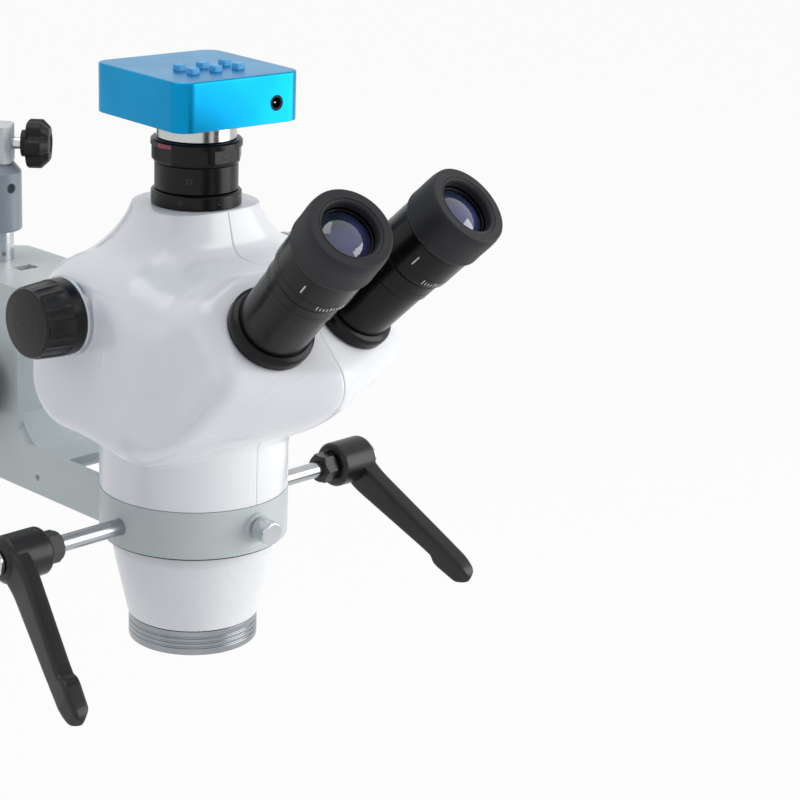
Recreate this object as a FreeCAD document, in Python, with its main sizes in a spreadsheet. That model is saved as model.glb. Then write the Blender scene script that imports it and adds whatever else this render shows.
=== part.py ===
import FreeCAD, Part
import math
import os
import re
import Sketcher

# Trinocular zoom stereo microscope head in a focusing arm, with a camera and two positioning handles.
# Millimetres and degrees. The origin is the centre of the objective ring's lower face, on the optical
# axis. +Z is up, -Y points to the operator, +X is the operator's right.

doc = FreeCAD.newDocument("microscope")
sheet = doc.addObject("Spreadsheet::Sheet", "sizes")

SIZES = {
    # fits
    "seat_gap": 0.3,
    "run_gap": 0.05,
    # clamp ring and nose
    "ring_bore_r": 38.0,
    "ring_wall": 6.0,
    "ring_low": 53.1,
    "ring_top": 75.4,
    "skirt_low_r": 30.6,
    "skirt_low": 11.9,
    "skirt_mid_r": 36.3,
    "skirt_mid": 37.5,
    "skirt_top": 46.0,
    "nose_top": 98.0,
    "nose_bore_r": 26.0,
    # objective
    "objective_r": 30.28,
    "objective_top": 11.6,
    "thread_r": 24.0,
    "thread_depth": 5.0,
    "glass_r": 23.0,
    "glass_low": 6.0,
    "glass_thick": 3.2,
    # housing
    "housing_top": 208.27,
    "housing_wall": 4.0,
    "housing_tail_r": 43.8,
    "pod_half_x": 64.2,
    "pod_y": 2.2,
    "pod_half_y": 41.5,
    "pod_z": 147.7,
    "pod_half_z": 40.0,
    "pod_round": 25.0,
    "pod_edge": 9.0,
    "pod_edge_more": 13.0,
    "bulge_half_x": 53.0,
    "bulge_flare": 12.0,
    "bulge_back": 80.0,
    "bulge_high": 95.0,
    "bulge_round": 13.0,
    "keel_low": 29.0,
    "keel_rise": 0.36,
    "keel_round": 14.0,
    "belly_low": 107.0,
    "belly_rise": 0.33,
    "crown_half_x": 34.0,
    "crown_top": 186.0,
    "crown_front": 62.0,
    "neck_r": 29.0,
    "neck_slope": 0.35,
    "neck_curve": 0.018,
    "neck_front": 21.7,
    "neck_front_slope": 0.24,
    "neck_low": 182.0,
    "waist_blend": 20.0,
    "crown_blend": 16.0,
    "neck_blend": 6.0,
    # trinocular port and camera adapter
    "port_bore_r": 15.5,
    "port_ring_r": 20.4,
    "port_ring_tall": 6.73,
    "port_tube_r": 18.85,
    "port_tube_tall": 12.2,
    "port_neck_r": 16.5,
    "light_bore_r": 13.0,
    "parfocal_r": 20.61,
    "parfocal_tall": 10.6,
    "parfocal_flat": 19.6,
    "mount_ring_r": 18.0,
    "mount_ring_tall": 9.4,
    "spigot_length": 12.0,
    "sensor_bore_r": 10.5,
    # camera
    "camera_side": 66.68,
    "camera_tall": 21.9,
    "camera_corner": 7.85,
    "camera_wall": 2.0,
    "camera_turn": -3.8,
    "camera_edge": 0.8,
    "base_plate": 2.0,
    "board_rise": 10.2,
    "board_thick": 1.6,
    "button_side": 4.5,
    "button_clear": 0.2,
    "button_rise": 2.6,
    "button_flange": 1.0,
    "button_travel": 0.5,
    "button_pitch_x": 12.3,
    "button_pitch_y": 9.8,
    "button_row_y": -5.0,
    "button_col_x": -1.0,
    "jack_x": 18.5,
    "jack_rise": 9.0,
    "jack_r": 3.2,
    "jack_hole_r": 3.5,
    # zoom drive
    "zoom_y": 10.0,
    "zoom_z": 164.5,
    "zoom_shaft_r": 3.0,
    "zoom_in": 67.2,
    "zoom_out": 88.0,
    "zoom_in_r": 17.2,
    "zoom_out_r": 15.8,
    "zoom_collar_r": 17.9,
    "zoom_collar_in": 64.0,
    "zoom_gear": 0.8,
    "zoom_teeth": 16,
    "zoom_gear_width": 8.0,
    "zoom_rack_low": 146.0,
    "zoom_rack_count": 14,
    "carriage_low": 126.0,
    "carriage_thick": 6.0,
    "carriage_half_x": 27.0,
    "rod_x": 20.0,
    "rod_y": 22.0,
    "rod_r": 2.0,
    "lens_cell_r": 10.0,
    "lens_cell_x": 12.0,
    "lens_cell_y": -2.0,
    "frame_low": 98.3,
    "frame_plate": 4.0,
    "frame_r": 36.0,
    "frame_top": 177.0,
    "frame_half_x": 22.0,
    "frame_wall_y": 27.0,
    "frame_thick": 4.0,
    # binocular part
    "eye_x": 23.7,
    "eye_y": -76.1,
    "eye_z": 169.5,
    "eye_tilt": 44.5,
    "eye_spread": 7.1,
    "flange_r": 19.6,
    "flange_thick": 6.8,
    "swivel_offset": 11.0,
    "trunnion_r": 8.0,
    "trunnion_bore_r": 5.5,
    "trunnion_depth": 12.0,
    "prism_side": 15.0,
    "eyetube_r": 16.4,
    "eyetube_bore_r": 15.05,
    "eyetube_top": 35.0,
    "dioptre_r": 17.0,
    "dioptre_top": 45.8,
    "eyepiece_r": 18.2,
    "eyepiece_top": 64.8,
    "eyepiece_bore_r": 11.0,
    "eyecup_r": 19.4,
    "eyecup_rim_r": 18.6,
    "eyecup_top": 83.7,
    "eyecup_bore_r": 12.6,
    # arm casting
    "arm_half_x": 30.5,
    "arm_top_half_x": 27.0,
    "cheek_thick": 3.2,
    "arm_front": 97.0,
    "arm_rear": 136.7,
    "arm_top": 151.0,
    "arm_taper_z": 88.0,
    "web_front": 62.0,
    "web_top": 74.4,
    "web_thick": 4.0,
    "web_round": 16.0,
    # dovetail and slide block
    "slide_gap": 0.08,
    "dovetail_tip": 15.0,
    "dovetail_root": 11.0,
    "dovetail_front": 129.1,
    "slide_front": 137.0,
    "slide_rear": 168.5,
    "slide_low": 72.0,
    # focus rack and pinion
    "focus_gear": 1.0,
    "focus_teeth": 18,
    "focus_y": 117.5,
    "focus_z": 100.0,
    "focus_gear_width": 9.0,
    "focus_rack_half_x": 5.0,
    "focus_rack_low": 68.0,
    "focus_rack_count": 22,
    "focus_shaft_r": 4.0,
    "focus_knob_r": 17.0,
    "focus_knob_in": 33.5,
    "focus_knob_out": 56.0,
    # drop pin and boom end
    "pin_r": 8.0,
    "pin_y": 151.5,
    "pin_low": 90.0,
    "pin_top": 199.0,
    "socket_r": 12.2,
    "socket_low": 166.4,
    "socket_top": 200.6,
    "socket_chamfer": 4.0,
    "socket_screw_z": 188.6,
    "socket_screw_r": 2.5,
    "knuckle_turn": -45.0,
    "knuckle_half": 8.1,
    "knuckle_back": 30.0,
    "knuckle_top": 218.7,
    "boom_bore_r": 6.0,
    "boom_bore_depth": 20.0,
    "boom_z": 209.7,
    "stud_r": 3.0,
    "stud_end": 12.5,
    "star_hub_r": 6.6,
    "star_hub_end": 15.5,
    "star_end": 27.0,
    "star_r": 12.3,
    "star_lobes": 6,
    # head lock screw
    "lock_z": 65.0,
    "lock_knob_r": 5.6,
    "lock_knob_in": 46.2,
    "lock_knob_out": 55.6,
    "lock_stud_r": 3.0,
    "lock_boss_r": 7.0,
    # handles
    "handle_z": 63.0,
    "handle_rod_r": 3.9,
    "rod_cover": 4.5,
    "nut_in": 79.5,
    "nut_thick": 8.1,
    "nut_r": 7.6,
    "hub_long": 23.5,
    "hub_r": 11.0,
    "cap_thick": 6.0,
    "cap_r": 6.0,
    "lever_length": 84.0,
    "lever_slant": 11.0,
    "lever_drop_left": 38.5,
    "lever_drop_right": 33.8,
    "lever_straight": 5.4,
    "lever_root": 10.2,
    "lever_neck": 4.4,
    "lever_lip": 7.0,
}
# Levels and ends of pieces that stand on one another
STACK = (
    ("port_ring_top", "housing_top", "port_ring_tall"),
    ("port_tube_top", "port_ring_top", "port_tube_tall"),
    ("parfocal_low", "port_tube_top", "seat_gap"),
    ("parfocal_top", "parfocal_low", "parfocal_tall"),
    ("mount_ring_top", "parfocal_top", "mount_ring_tall"),
    ("camera_low", "mount_ring_top", "seat_gap"),
    ("camera_high", "camera_low", "camera_tall"),
    ("board_z", "camera_low", "board_rise"),
    ("jack_z", "camera_low", "jack_rise"),
    ("nut_out", "nut_in", "nut_thick"),
    ("hub_in", "nut_out", "seat_gap"),
    ("hub_out", "hub_in", "hub_long"),
    ("cap_out", "hub_out", "cap_thick"),
)
for top, foot, tall in STACK:
    SIZES[top] = round(SIZES[foot] + SIZES[tall], 4)
SIZES["rod_end"] = round(SIZES["hub_out"] - SIZES["rod_cover"], 4)

for row, (name, value) in enumerate(SIZES.items(), start=1):
    sheet.set("A%d" % row, name)
    sheet.set("B%d" % row, str(value))
    sheet.setAlias("B%d" % row, name)
doc.recompute()

# Shared expressions
RING_R = "(ring_bore_r + ring_wall)"
NOSE_R = "(ring_bore_r - run_gap)"
FOCUS_PITCH = "(focus_gear * focus_teeth / 2)"
ZOOM_PITCH = "(zoom_gear * zoom_teeth / 2)"

PARTS = []


def bound(text):
    """Turn the names of sizes in an expression into references to the sheet's cells."""
    return re.sub(r"[a-z]\w*", lambda m: "sizes." + m.group(0) if m.group(0) in SIZES else m.group(0), text)


def bind(thing, prop, text):
    """Bind one property of an object to an expression in the sheet's names."""
    thing.setExpression(prop, bound(text))


def keep(thing, label):
    """Give a finished sub-part its name and put it on the list of those that are written."""
    thing.Label = label
    PARTS.append(thing)
    return thing


def put(thing, x="0", y="0", z="0", axis=None, angle=0.0):
    """Turn an object about an axis and bind its base point."""
    if axis is not None:
        thing.Placement = FreeCAD.Placement(FreeCAD.Vector(), FreeCAD.Rotation(FreeCAD.Vector(*axis), angle))
    for prop, text in (("x", x), ("y", y), ("z", z)):
        if text != "0":
            bind(thing, "Placement.Base." + prop, text)
    return thing


def plane_of(body, role):
    """The body's own origin plane or axis with the given role."""
    return [item for item in body.Origin.OriginFeatures if item.Role == role][0]


def outline(body, role, points, offset="0"):
    """A closed polygon sketch on an origin plane, each corner bound by its two coordinates."""
    sketch = body.newObject("Sketcher::SketchObject", body.Name + "_sketch")
    sketch.AttachmentSupport = (plane_of(body, role), [""])
    sketch.MapMode = "FlatFace"
    if offset != "0":
        bind(sketch, "AttachmentOffset.Base.z", offset)
    count = len(points)
    start = [FreeCAD.Vector(10 * math.cos(2 * math.pi * i / count), 10 * math.sin(2 * math.pi * i / count), 0)
             for i in range(count)]
    for i in range(count):
        sketch.addGeometry(Part.LineSegment(start[i], start[(i + 1) % count]), False)
    for i in range(count):
        sketch.addConstraint(Sketcher.Constraint("Coincident", i, 2, (i + 1) % count, 1))
    for i, corner in enumerate(points):
        for kind, text, now in (("DistanceX", corner[0], start[i].x), ("DistanceY", corner[1], start[i].y)):
            index = sketch.addConstraint(Sketcher.Constraint(kind, -1, 1, i, 1, now))
            sketch.setExpression("Constraints[%d]" % index, bound(text))
    return sketch


def new_body(name):
    """An empty body."""
    return doc.addObject("PartDesign::Body", name)


def turn(body, points, groove=False):
    """Revolve a radius and height profile about the body's Z axis."""
    kind = "PartDesign::Groove" if groove else "PartDesign::Revolution"
    sketch = outline(body, "XZ_Plane", points)
    feature = body.newObject(kind, body.Name + "_turned")
    feature.Profile = sketch
    feature.ReferenceAxis = (sketch, ["V_Axis"])
    feature.Angle = 360
    return feature


def pad(body, role, points, length, offset="0"):
    """Pad a polygon from a plane parallel to an origin plane."""
    feature = body.newObject("PartDesign::Pad", body.Name + "_pad")
    feature.Profile = outline(body, role, points, offset)
    bind(feature, "Length", length)
    return feature


def pocket(body, role, points, length, offset="0", reverse=False):
    """Cut a polygon's prism out of the body."""
    feature = body.newObject("PartDesign::Pocket", body.Name + "_pocket")
    feature.Profile = outline(body, role, points, offset)
    feature.Reversed = reverse
    bind(feature, "Length", length)
    return feature


def around(body, feature, count, axis="Z_Axis"):
    """Repeat a feature evenly around an axis of the body."""
    pattern = body.newObject("PartDesign::PolarPattern", body.Name + "_around")
    pattern.Originals = [feature]
    pattern.Axis = (plane_of(body, axis), [""])
    pattern.Angle = 360
    bind(pattern, "Occurrences", count)
    body.Tip = pattern
    return pattern


def along(body, feature, axis, length, count):
    """Repeat a feature in a row along an axis of the body."""
    pattern = body.newObject("PartDesign::LinearPattern", body.Name + "_row")
    pattern.Originals = [feature]
    pattern.Direction = (plane_of(body, axis), [""])
    bind(pattern, "Length", length)
    bind(pattern, "Occurrences", count)
    body.Tip = pattern
    return pattern


def box_points(low_u, high_u, low_v, high_v):
    """The four corners of a rectangle."""
    return [(low_u, low_v), (high_u, low_v), (high_u, high_v), (low_u, high_v)]


def rod(name, radius, length, x="0", y="0", z="0", axis=None, angle=0.0):
    """A plain cylinder along its own Z axis."""
    shaft = doc.addObject("Part::Cylinder", name)
    bind(shaft, "Radius", radius)
    bind(shaft, "Height", length)
    return put(shaft, x, y, z, axis, angle)


def cut(name, base, tools):
    """The base without the tools."""
    result = doc.addObject("Part::Cut", name)
    result.Base = base
    result.Tool = tools[0] if len(tools) == 1 else fuse(name + "_tools", tools)
    return result


def fuse(name, pieces):
    """One solid of several that meet."""
    result = doc.addObject("Part::MultiFuse", name)
    result.Shapes = pieces
    return result


def lathe(label, points):
    """A sub-part turned about its own Z axis."""
    body = new_body(label)
    turn(body, points)
    return body


TO_PLUS_X = ((0, 1, 0), 90)
TO_MINUS_X = ((0, 1, 0), -90)
TO_MINUS_Y = ((1, 0, 0), 90)

# Nose barrel: the white conical skirt and the plain nose that stands in the clamp ring's bore
nose = lathe("nose_barrel", [
    ("nose_bore_r", "skirt_low"),
    ("skirt_low_r", "skirt_low"),
    ("skirt_mid_r", "skirt_mid"),
    (NOSE_R, "skirt_top"),
    (NOSE_R, "nose_top"),
    ("nose_bore_r", "nose_top"),
])
keep(nose, "nose_barrel")

# Objective ring: turned aluminium with three grip grooves, an accessory thread below and a spigot above
GROOVE = "(objective_r - 0.6)"
ring_profile = [("thread_r", "0"), ("objective_r", "0")]
for level in (3.0, 5.4, 7.8):
    ring_profile += [
        ("objective_r", str(level)),
        (GROOVE, str(level + 0.3)),
        (GROOVE, str(level + 0.9)),
        ("objective_r", str(level + 1.2)),
    ]
ring_profile += [
    ("objective_r", "objective_top"),
    ("nose_bore_r - run_gap", "objective_top"),
    ("nose_bore_r - run_gap", "skirt_low + 6"),
    ("glass_r + run_gap", "skirt_low + 6"),
    ("glass_r + run_gap", "glass_low - run_gap"),
    ("glass_r - 1.5", "glass_low - run_gap"),
    ("glass_r - 1.5", "thread_depth"),
    ("thread_r", "thread_depth"),
]
keep(lathe("objective_ring", ring_profile), "objective_ring")

# Objective window: a lens bulged on its upper side, lying on the ring's shoulder
glass_rim = rod("glass_rim", "glass_r", "glass_thick", z="glass_low")
glass_dome = doc.addObject("Part::Sphere", "glass_dome")
bind(glass_dome, "Radius", "glass_r * 4")
put(glass_dome, z="glass_low + glass_thick - glass_r * 4")
glass = doc.addObject("Part::MultiCommon", "objective_glass")
glass.Shapes = [glass_rim, glass_dome]
keep(glass, "objective_lens")


# Housing: a moulded skin in two halves that meet on the mid-plane. Its surface is where rays from a
# point inside cross four rounded forms blended into one another: the pod with the zoom knobs, the
# inclined binocular bulge, the neck of the camera port and the round tail on the clamp ring.
LEAN = math.radians(SIZES["eye_tilt"])
SPREAD = math.radians(SIZES["eye_spread"])
SEAT_REACH = -SIZES["eye_y"] * math.cos(LEAN) + SIZES["eye_z"] * math.sin(LEAN)
CENTRE_Y = -12.0
CENTRE_Z = 150.0
REACH = 150.0


def rounded(u, v, half_u, half_v, radius):
    """Distance to a rectangle with round corners, negative inside."""
    return both(abs(u) - half_u, abs(v) - half_v, radius)


def both(first, second, radius):
    """Distance to what two forms share, with a round edge where they meet."""
    one = first + radius
    two = second + radius
    return math.hypot(max(one, 0), max(two, 0)) + min(max(one, two), 0) - radius


def merged(first, second, blend):
    """Distance to two forms with a soft fillet where they meet."""
    share = max(blend - abs(first - second), 0) / blend
    return min(first, second) - share * share * blend / 4


def ease(share):
    """A soft step from 0 to 1."""
    share = min(max(share, 0), 1)
    return share * share * (3 - 2 * share)


def pod_distance(x, y, z):
    """The rounded block that carries the zoom knobs, its upper edges rounder than its lower ones."""
    side = rounded(y - SIZES["pod_y"], z - SIZES["pod_z"], SIZES["pod_half_y"], SIZES["pod_half_z"],
                   SIZES["pod_round"])
    edge = SIZES["pod_edge"] + SIZES["pod_edge_more"] * ease((z - 120) / 65)
    return both(side, abs(x) - SIZES["pod_half_x"], edge)


def bulge_distance(x, y, z):
    """The inclined block under the eyetubes, with a keeled underside and a flat seat on each side."""
    outward = -y * math.cos(LEAN) + z * math.sin(LEAN)
    across = y * math.sin(LEAN) + z * math.cos(LEAN)
    seat = (outward - SEAT_REACH) * math.cos(SPREAD) + (abs(x) - SIZES["eye_x"]) * math.sin(SPREAD)
    keel = SIZES["keel_low"] + SIZES["keel_rise"] * (math.hypot(x, 4) - 3) - across
    belly = SIZES["belly_low"] - SIZES["belly_rise"] * (y + SIZES["housing_tail_r"]) - z
    side = abs(x) - SIZES["bulge_half_x"] - SIZES["bulge_flare"] * ease((66 - across) / 30)
    block = both(seat - 0.35, across - SIZES["bulge_high"], SIZES["bulge_round"])
    block = both(block, keel / 1.06, SIZES["keel_round"])
    block = both(block, SIZES["bulge_back"] - outward, 5.0)
    block = both(block, belly / 1.05, 8.0)
    return both(block, side / 1.03, SIZES["bulge_round"])


def crown_distance(x, y, z):
    """The low ridge that joins the neck to the top of the bulge."""
    top = both(z - SIZES["crown_top"], -SIZES["crown_front"] - y, 8.0)
    ridge = both(top, abs(x) - SIZES["crown_half_x"], 14.0)
    return both(both(ridge, y, 5.0), 130.0 - z, 5.0)


def neck_distance(x, y, z):
    """The flared neck of the camera port, flattened toward the operator."""
    drop = SIZES["housing_top"] - z
    flare = SIZES["neck_r"] + SIZES["neck_slope"] * drop + SIZES["neck_curve"] * drop * drop
    steep = SIZES["neck_slope"] + 2 * SIZES["neck_curve"] * drop
    cone = (math.hypot(x, y) - flare) / math.hypot(1, steep)
    front = -SIZES["neck_front"] - SIZES["neck_front_slope"] * drop - y
    return max(both(cone, front, 8.0), SIZES["neck_low"] - z)


def skin_distance(x, y, z):
    """Distance from a point to the housing's outer skin, negative inside."""
    tail = max(math.hypot(x, y) - SIZES["housing_tail_r"], z - SIZES["pod_z"])
    body = merged(pod_distance(x, y, z), bulge_distance(x, y, z), SIZES["waist_blend"])
    body = merged(body, crown_distance(x, y, z), SIZES["crown_blend"])
    body = merged(body, neck_distance(x, y, z), SIZES["neck_blend"])
    return merged(body, tail, SIZES["neck_blend"])


def crossing(origin, ray, depth):
    """Where a ray from inside crosses the skin, moved in by a depth: the interval is halved."""
    near = 0.0
    far = REACH
    for step in range(32):
        middle = (near + far) / 2
        point = origin + ray * middle
        if skin_distance(point.x, point.y, point.z) + depth < 0:
            near = middle
        else:
            far = middle
    return origin + ray * near


def half_shell(depth, low, high, rows, columns):
    """Half of the solid inside the skin at a depth, between two levels, on the -X side."""
    net = [[] for row in range(rows)]
    centre = FreeCAD.Vector(0, CENTRE_Y, CENTRE_Z)
    for column in range(columns):
        heading = math.pi / 2 + math.pi * column / (columns - 1)
        flat = FreeCAD.Vector(math.cos(heading), math.sin(heading), 0)
        if column in (0, columns - 1):
            flat.x = 0
        top = crossing(FreeCAD.Vector(0, 0, high), flat, depth)
        bottom = crossing(FreeCAD.Vector(0, 0, low), flat, depth)
        up = (top - centre).normalize()
        down = (bottom - centre).normalize()
        # the rays of one column fan out in one upright plane from the centre
        net[0].append(top)
        for row in range(1, rows - 1):
            net[row].append(crossing(centre, fan(up, down, row / (rows - 1)), depth))
        net[-1].append(bottom)
    surface = Part.BSplineSurface()
    surface.buildFromPolesMultsKnots(net, ends(rows), ends(columns), list(range(rows - 2)),
                                     list(range(columns - 2)), False, False, 3, 3)
    skin = surface.toShape()
    edges = skin.Edges
    flat_faces = []
    rim = [edge for edge in edges if is_level(edge, high)][0]
    hem = [edge for edge in edges if is_level(edge, low)][0]
    sides = [edge for edge in edges if not edge.isSame(rim) and not edge.isSame(hem)]
    rim_line = Part.LineSegment(rim.Vertexes[0].Point, rim.Vertexes[-1].Point).toShape()
    hem_line = Part.LineSegment(hem.Vertexes[0].Point, hem.Vertexes[-1].Point).toShape()
    flat_faces.append(Part.Face(Part.Wire(Part.__sortEdges__([rim, rim_line]))))
    flat_faces.append(Part.Face(Part.Wire(Part.__sortEdges__([hem, hem_line]))))
    flat_faces.append(Part.Face(Part.Wire(Part.__sortEdges__([sides[0], rim_line, sides[1], hem_line]))))
    shell = Part.Shell([skin] + flat_faces)
    shell.sewShape()
    solid = Part.Solid(shell)
    if solid.Volume < 0:
        solid.reverse()
    return solid


def ends(count):
    """Knot multiplicities of a cubic row of poles that reaches its first and last pole."""
    return [4] + [1] * (count - 4) + [4]


def fan(first, last, share):
    """A unit ray part of the way from one ray to another, by angle."""
    whole = first.getAngle(last)
    return (first * math.sin((1 - share) * whole) + last * math.sin(share * whole)).normalize()


def is_level(edge, level):
    """Whether both ends and the middle of an edge lie at one height."""
    middle = edge.valueAt((edge.FirstParameter + edge.LastParameter) / 2)
    heights = [vertex.Z for vertex in edge.Vertexes] + [middle.z]
    return max(abs(height - level) for height in heights) < 0.01


def eye_frame(side):
    """Placement whose Z axis is one eyetube's axis and whose origin is its seat on the housing."""
    out = FreeCAD.Vector(side * math.sin(SPREAD), -math.cos(LEAN) * math.cos(SPREAD),
                         math.sin(LEAN) * math.cos(SPREAD))
    back = FreeCAD.Vector(0, math.sin(LEAN), math.cos(LEAN))
    sideways = back.cross(out).normalize()
    back = out.cross(sideways)
    turned = FreeCAD.Rotation(sideways, back, out, "ZXY")
    base = FreeCAD.Vector(side * SIZES["eye_x"], SIZES["eye_y"], SIZES["eye_z"])
    return FreeCAD.Placement(base, turned)


outer_half = half_shell(0.0, SIZES["ring_top"] + SIZES["seat_gap"], SIZES["housing_top"], 20, 22)
inner_half = half_shell(SIZES["housing_wall"], SIZES["frame_low"] + 0.5,
                        SIZES["housing_top"] - SIZES["housing_wall"], 16, 18)


def left_half():
    """The left half of the hollow housing with its seats and bores."""
    side = -1
    seat = eye_frame(side)
    room = 200.0
    trim = Part.makeBox(room, room, room, FreeCAD.Vector(-room / 2, -room / 2, 0))
    trim.Placement = seat
    lid = Part.makeBox(room, room, room, FreeCAD.Vector(-room / 2, -room / 2, -SIZES["housing_wall"]))
    lid.Placement = seat
    trunnion = Part.makeCylinder(SIZES["trunnion_r"] + SIZES["run_gap"], 40.0,
                                 FreeCAD.Vector(0, -SIZES["swivel_offset"], -39.0))
    trunnion.Placement = seat
    tail_bore = Part.makeCylinder(SIZES["ring_bore_r"] + SIZES["seat_gap"], 60.0,
                                  FreeCAD.Vector(0, 0, SIZES["frame_low"] - 58.0))
    port_bore = Part.makeCylinder(SIZES["port_bore_r"], 40.0, FreeCAD.Vector(0, 0, SIZES["housing_top"] - 20.0))
    axle = Part.makeCylinder(SIZES["zoom_shaft_r"] + SIZES["run_gap"], 80.0,
                             FreeCAD.Vector(0, SIZES["zoom_y"], SIZES["zoom_z"]), FreeCAD.Vector(side, 0, 0))
    collar_seat = Part.makeCylinder(SIZES["zoom_collar_r"] + SIZES["seat_gap"], 30.0,
                                    FreeCAD.Vector(side * (SIZES["zoom_collar_in"] - SIZES["seat_gap"]),
                                                   SIZES["zoom_y"], SIZES["zoom_z"]),
                                    FreeCAD.Vector(side, 0, 0))
    knob_boss = Part.makeCylinder(SIZES["zoom_collar_r"], SIZES["housing_wall"] + 4,
                                  FreeCAD.Vector(side * (SIZES["zoom_collar_in"] - SIZES["housing_wall"] - 4.3),
                                                 SIZES["zoom_y"], SIZES["zoom_z"]),
                                  FreeCAD.Vector(side, 0, 0))
    shell = outer_half.cut([inner_half.cut([lid])]).fuse([knob_boss])
    return shell.cut([trim, trunnion, tail_bore, port_bore, axle, collar_seat])


housing_left = doc.addObject("Part::Feature", "housing_left")
housing_left.Shape = left_half()
housing_left.Placement = FreeCAD.Placement()
keep(housing_left, "housing_left")
housing_right = doc.addObject("Part::Mirroring", "housing_right")
housing_right.Source = housing_left
housing_right.Normal = FreeCAD.Vector(1, 0, 0)
keep(housing_right, "housing_right")

# Optical frame: a plate on the nose, an upright wall, two guide rods and a slotted shelf for the beam splitter
RACK_FACE = "(zoom_y + %s)" % ZOOM_PITCH
frame_plate = cut("frame_base", rod("frame_disc", "frame_r", "frame_plate", z="frame_low"), [
    rod("frame_light", "nose_bore_r - 4", "frame_plate", z="frame_low"),
])
frame_wall = new_body("frame_wall")
pad(frame_wall, "XZ_Plane", box_points("-frame_half_x", "frame_half_x", "frame_low + frame_plate", "frame_top"),
    "frame_thick", "-(frame_wall_y + frame_thick)")
frame_shelf = new_body("frame_shelf")
pad(frame_shelf, "XY_Plane", box_points("-carriage_half_x", "carriage_half_x", "-14", "frame_wall_y + frame_thick"),
    "frame_thick", "frame_top - frame_thick")
frame_rods = [
    rod("guide_rod", "rod_r", "frame_top - frame_low - frame_plate", x=text, y="rod_y", z="frame_low + frame_plate")
    for text in ("rod_x", "-rod_x")
]
frame_window = rod("frame_window", "9", "10", z="frame_top - 6")
frame_slot = new_body("frame_slot")
pad(frame_slot, "XY_Plane", box_points("-zoom_gear_width / 2 - 1", "zoom_gear_width / 2 + 1",
                                       RACK_FACE + " - zoom_gear - 1", "frame_wall_y - 2"), "10", "frame_top - 6")
frame_solid = cut("frame_solid", fuse("frame_pieces", [frame_plate, frame_wall, frame_shelf] + frame_rods),
                  [frame_window, frame_slot])
keep(frame_solid, "optical_frame")

# Beam splitter: a glass cube on the shelf that sends light up the camera port
splitter = doc.addObject("Part::Box", "splitter")
for prop in ("Length", "Width"):
    bind(splitter, prop, "20")
bind(splitter, "Height", "housing_top - 8 - frame_top - 0.6")
put(splitter, "-10", "-10", "frame_top + seat_gap")
keep(splitter, "beam_splitter")

# Zoom collars: thin light rings in the housing's side seats
collar_body = lathe("zoom_collar", [
    ("zoom_shaft_r + run_gap", "zoom_collar_in"),
    ("zoom_collar_r", "zoom_collar_in"),
    ("zoom_collar_r", "zoom_in - 0.9"),
    ("zoom_collar_r - 0.6", "zoom_in - seat_gap"),
    ("zoom_shaft_r + run_gap", "zoom_in - seat_gap"),
])
put(collar_body, y="zoom_y", z="zoom_z", axis=TO_PLUS_X[0], angle=TO_PLUS_X[1])
collar_mirror = doc.addObject("Part::Mirroring", "zoom_collar_mirror")
collar_mirror.Source = collar_body
collar_mirror.Normal = FreeCAD.Vector(1, 0, 0)
collar_pair = doc.addObject("Part::Compound", "zoom_collar_pair")
collar_pair.Links = [collar_body, collar_mirror]
keep(collar_pair, "zoom_collars")


def pinion(body, module, teeth, low, high, shaft):
    """A straight-cut pinion on a shaft: the gaps are cut with slanted flanks and repeated around."""
    pitch = "%s * %s / 2" % (module, teeth)
    turn(body, [
        ("0", low),
        (shaft, low),
        ("%s - 1.25 * %s" % (pitch, module), low),
        ("%s + %s" % (pitch, module), low),
        ("%s + %s" % (pitch, module), high),
        ("0", high),
    ])
    gap = pocket(body, "XY_Plane", [
        ("%s - 1.25 * %s" % (pitch, module), "-0.42 * " + module),
        (pitch, "-0.87 * " + module),
        ("%s + 1.6 * %s" % (pitch, module), "-1.68 * " + module),
        ("%s + 1.6 * %s" % (pitch, module), "1.68 * " + module),
        (pitch, "0.87 * " + module),
        ("%s - 1.25 * %s" % (pitch, module), "0.42 * " + module),
    ], "%s - (%s)" % (high, low), low, reverse=True)
    around(body, gap, teeth)


# Zoom shaft: a steel shaft through the housing with the pinion at its middle, its axis along X
zoom_gear_body = new_body("zoom_gear_body")
pinion(zoom_gear_body, "zoom_gear", "zoom_teeth", "-zoom_gear_width / 2", "zoom_gear_width / 2", "zoom_shaft_r")
zoom_rod = rod("zoom_rod", "zoom_shaft_r", "2 * (zoom_out - 6)", z="-(zoom_out - 6)")
zoom_shaft = fuse("zoom_shaft_solid", [zoom_gear_body, zoom_rod])
put(zoom_shaft, y="zoom_y", z="zoom_z", axis=TO_PLUS_X[0], angle=TO_PLUS_X[1])
keep(zoom_shaft, "zoom_shaft")

# Zoom knobs: moulded caps with a rounded end and short ribs, pressed on the shaft
for side, word in ((-1, "left"), (1, "right")):
    knob = new_body("zoom_knob_" + word)
    turn(knob, [
        ("zoom_shaft_r + run_gap", "zoom_in"),
        ("zoom_in_r", "zoom_in"),
        ("zoom_out_r", "zoom_out - 2"),
        ("zoom_out_r - 1.4", "zoom_out - 0.5"),
        ("zoom_out_r - 3", "zoom_out"),
        ("0", "zoom_out"),
        ("0", "zoom_out - 5.5"),
        ("zoom_shaft_r + run_gap", "zoom_out - 5.5"),
    ])
    flute = pocket(knob, "XY_Plane", box_points("zoom_out_r - 0.3", "zoom_in_r + 1", "-1.6", "1.6"),
                   "13", "zoom_in + 3", reverse=True)
    around(knob, flute, "12")
    toward = TO_PLUS_X if side > 0 else TO_MINUS_X
    put(knob, y="zoom_y", z="zoom_z", axis=toward[0], angle=toward[1])
    keep(knob, "zoom_knob_" + word)

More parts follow.
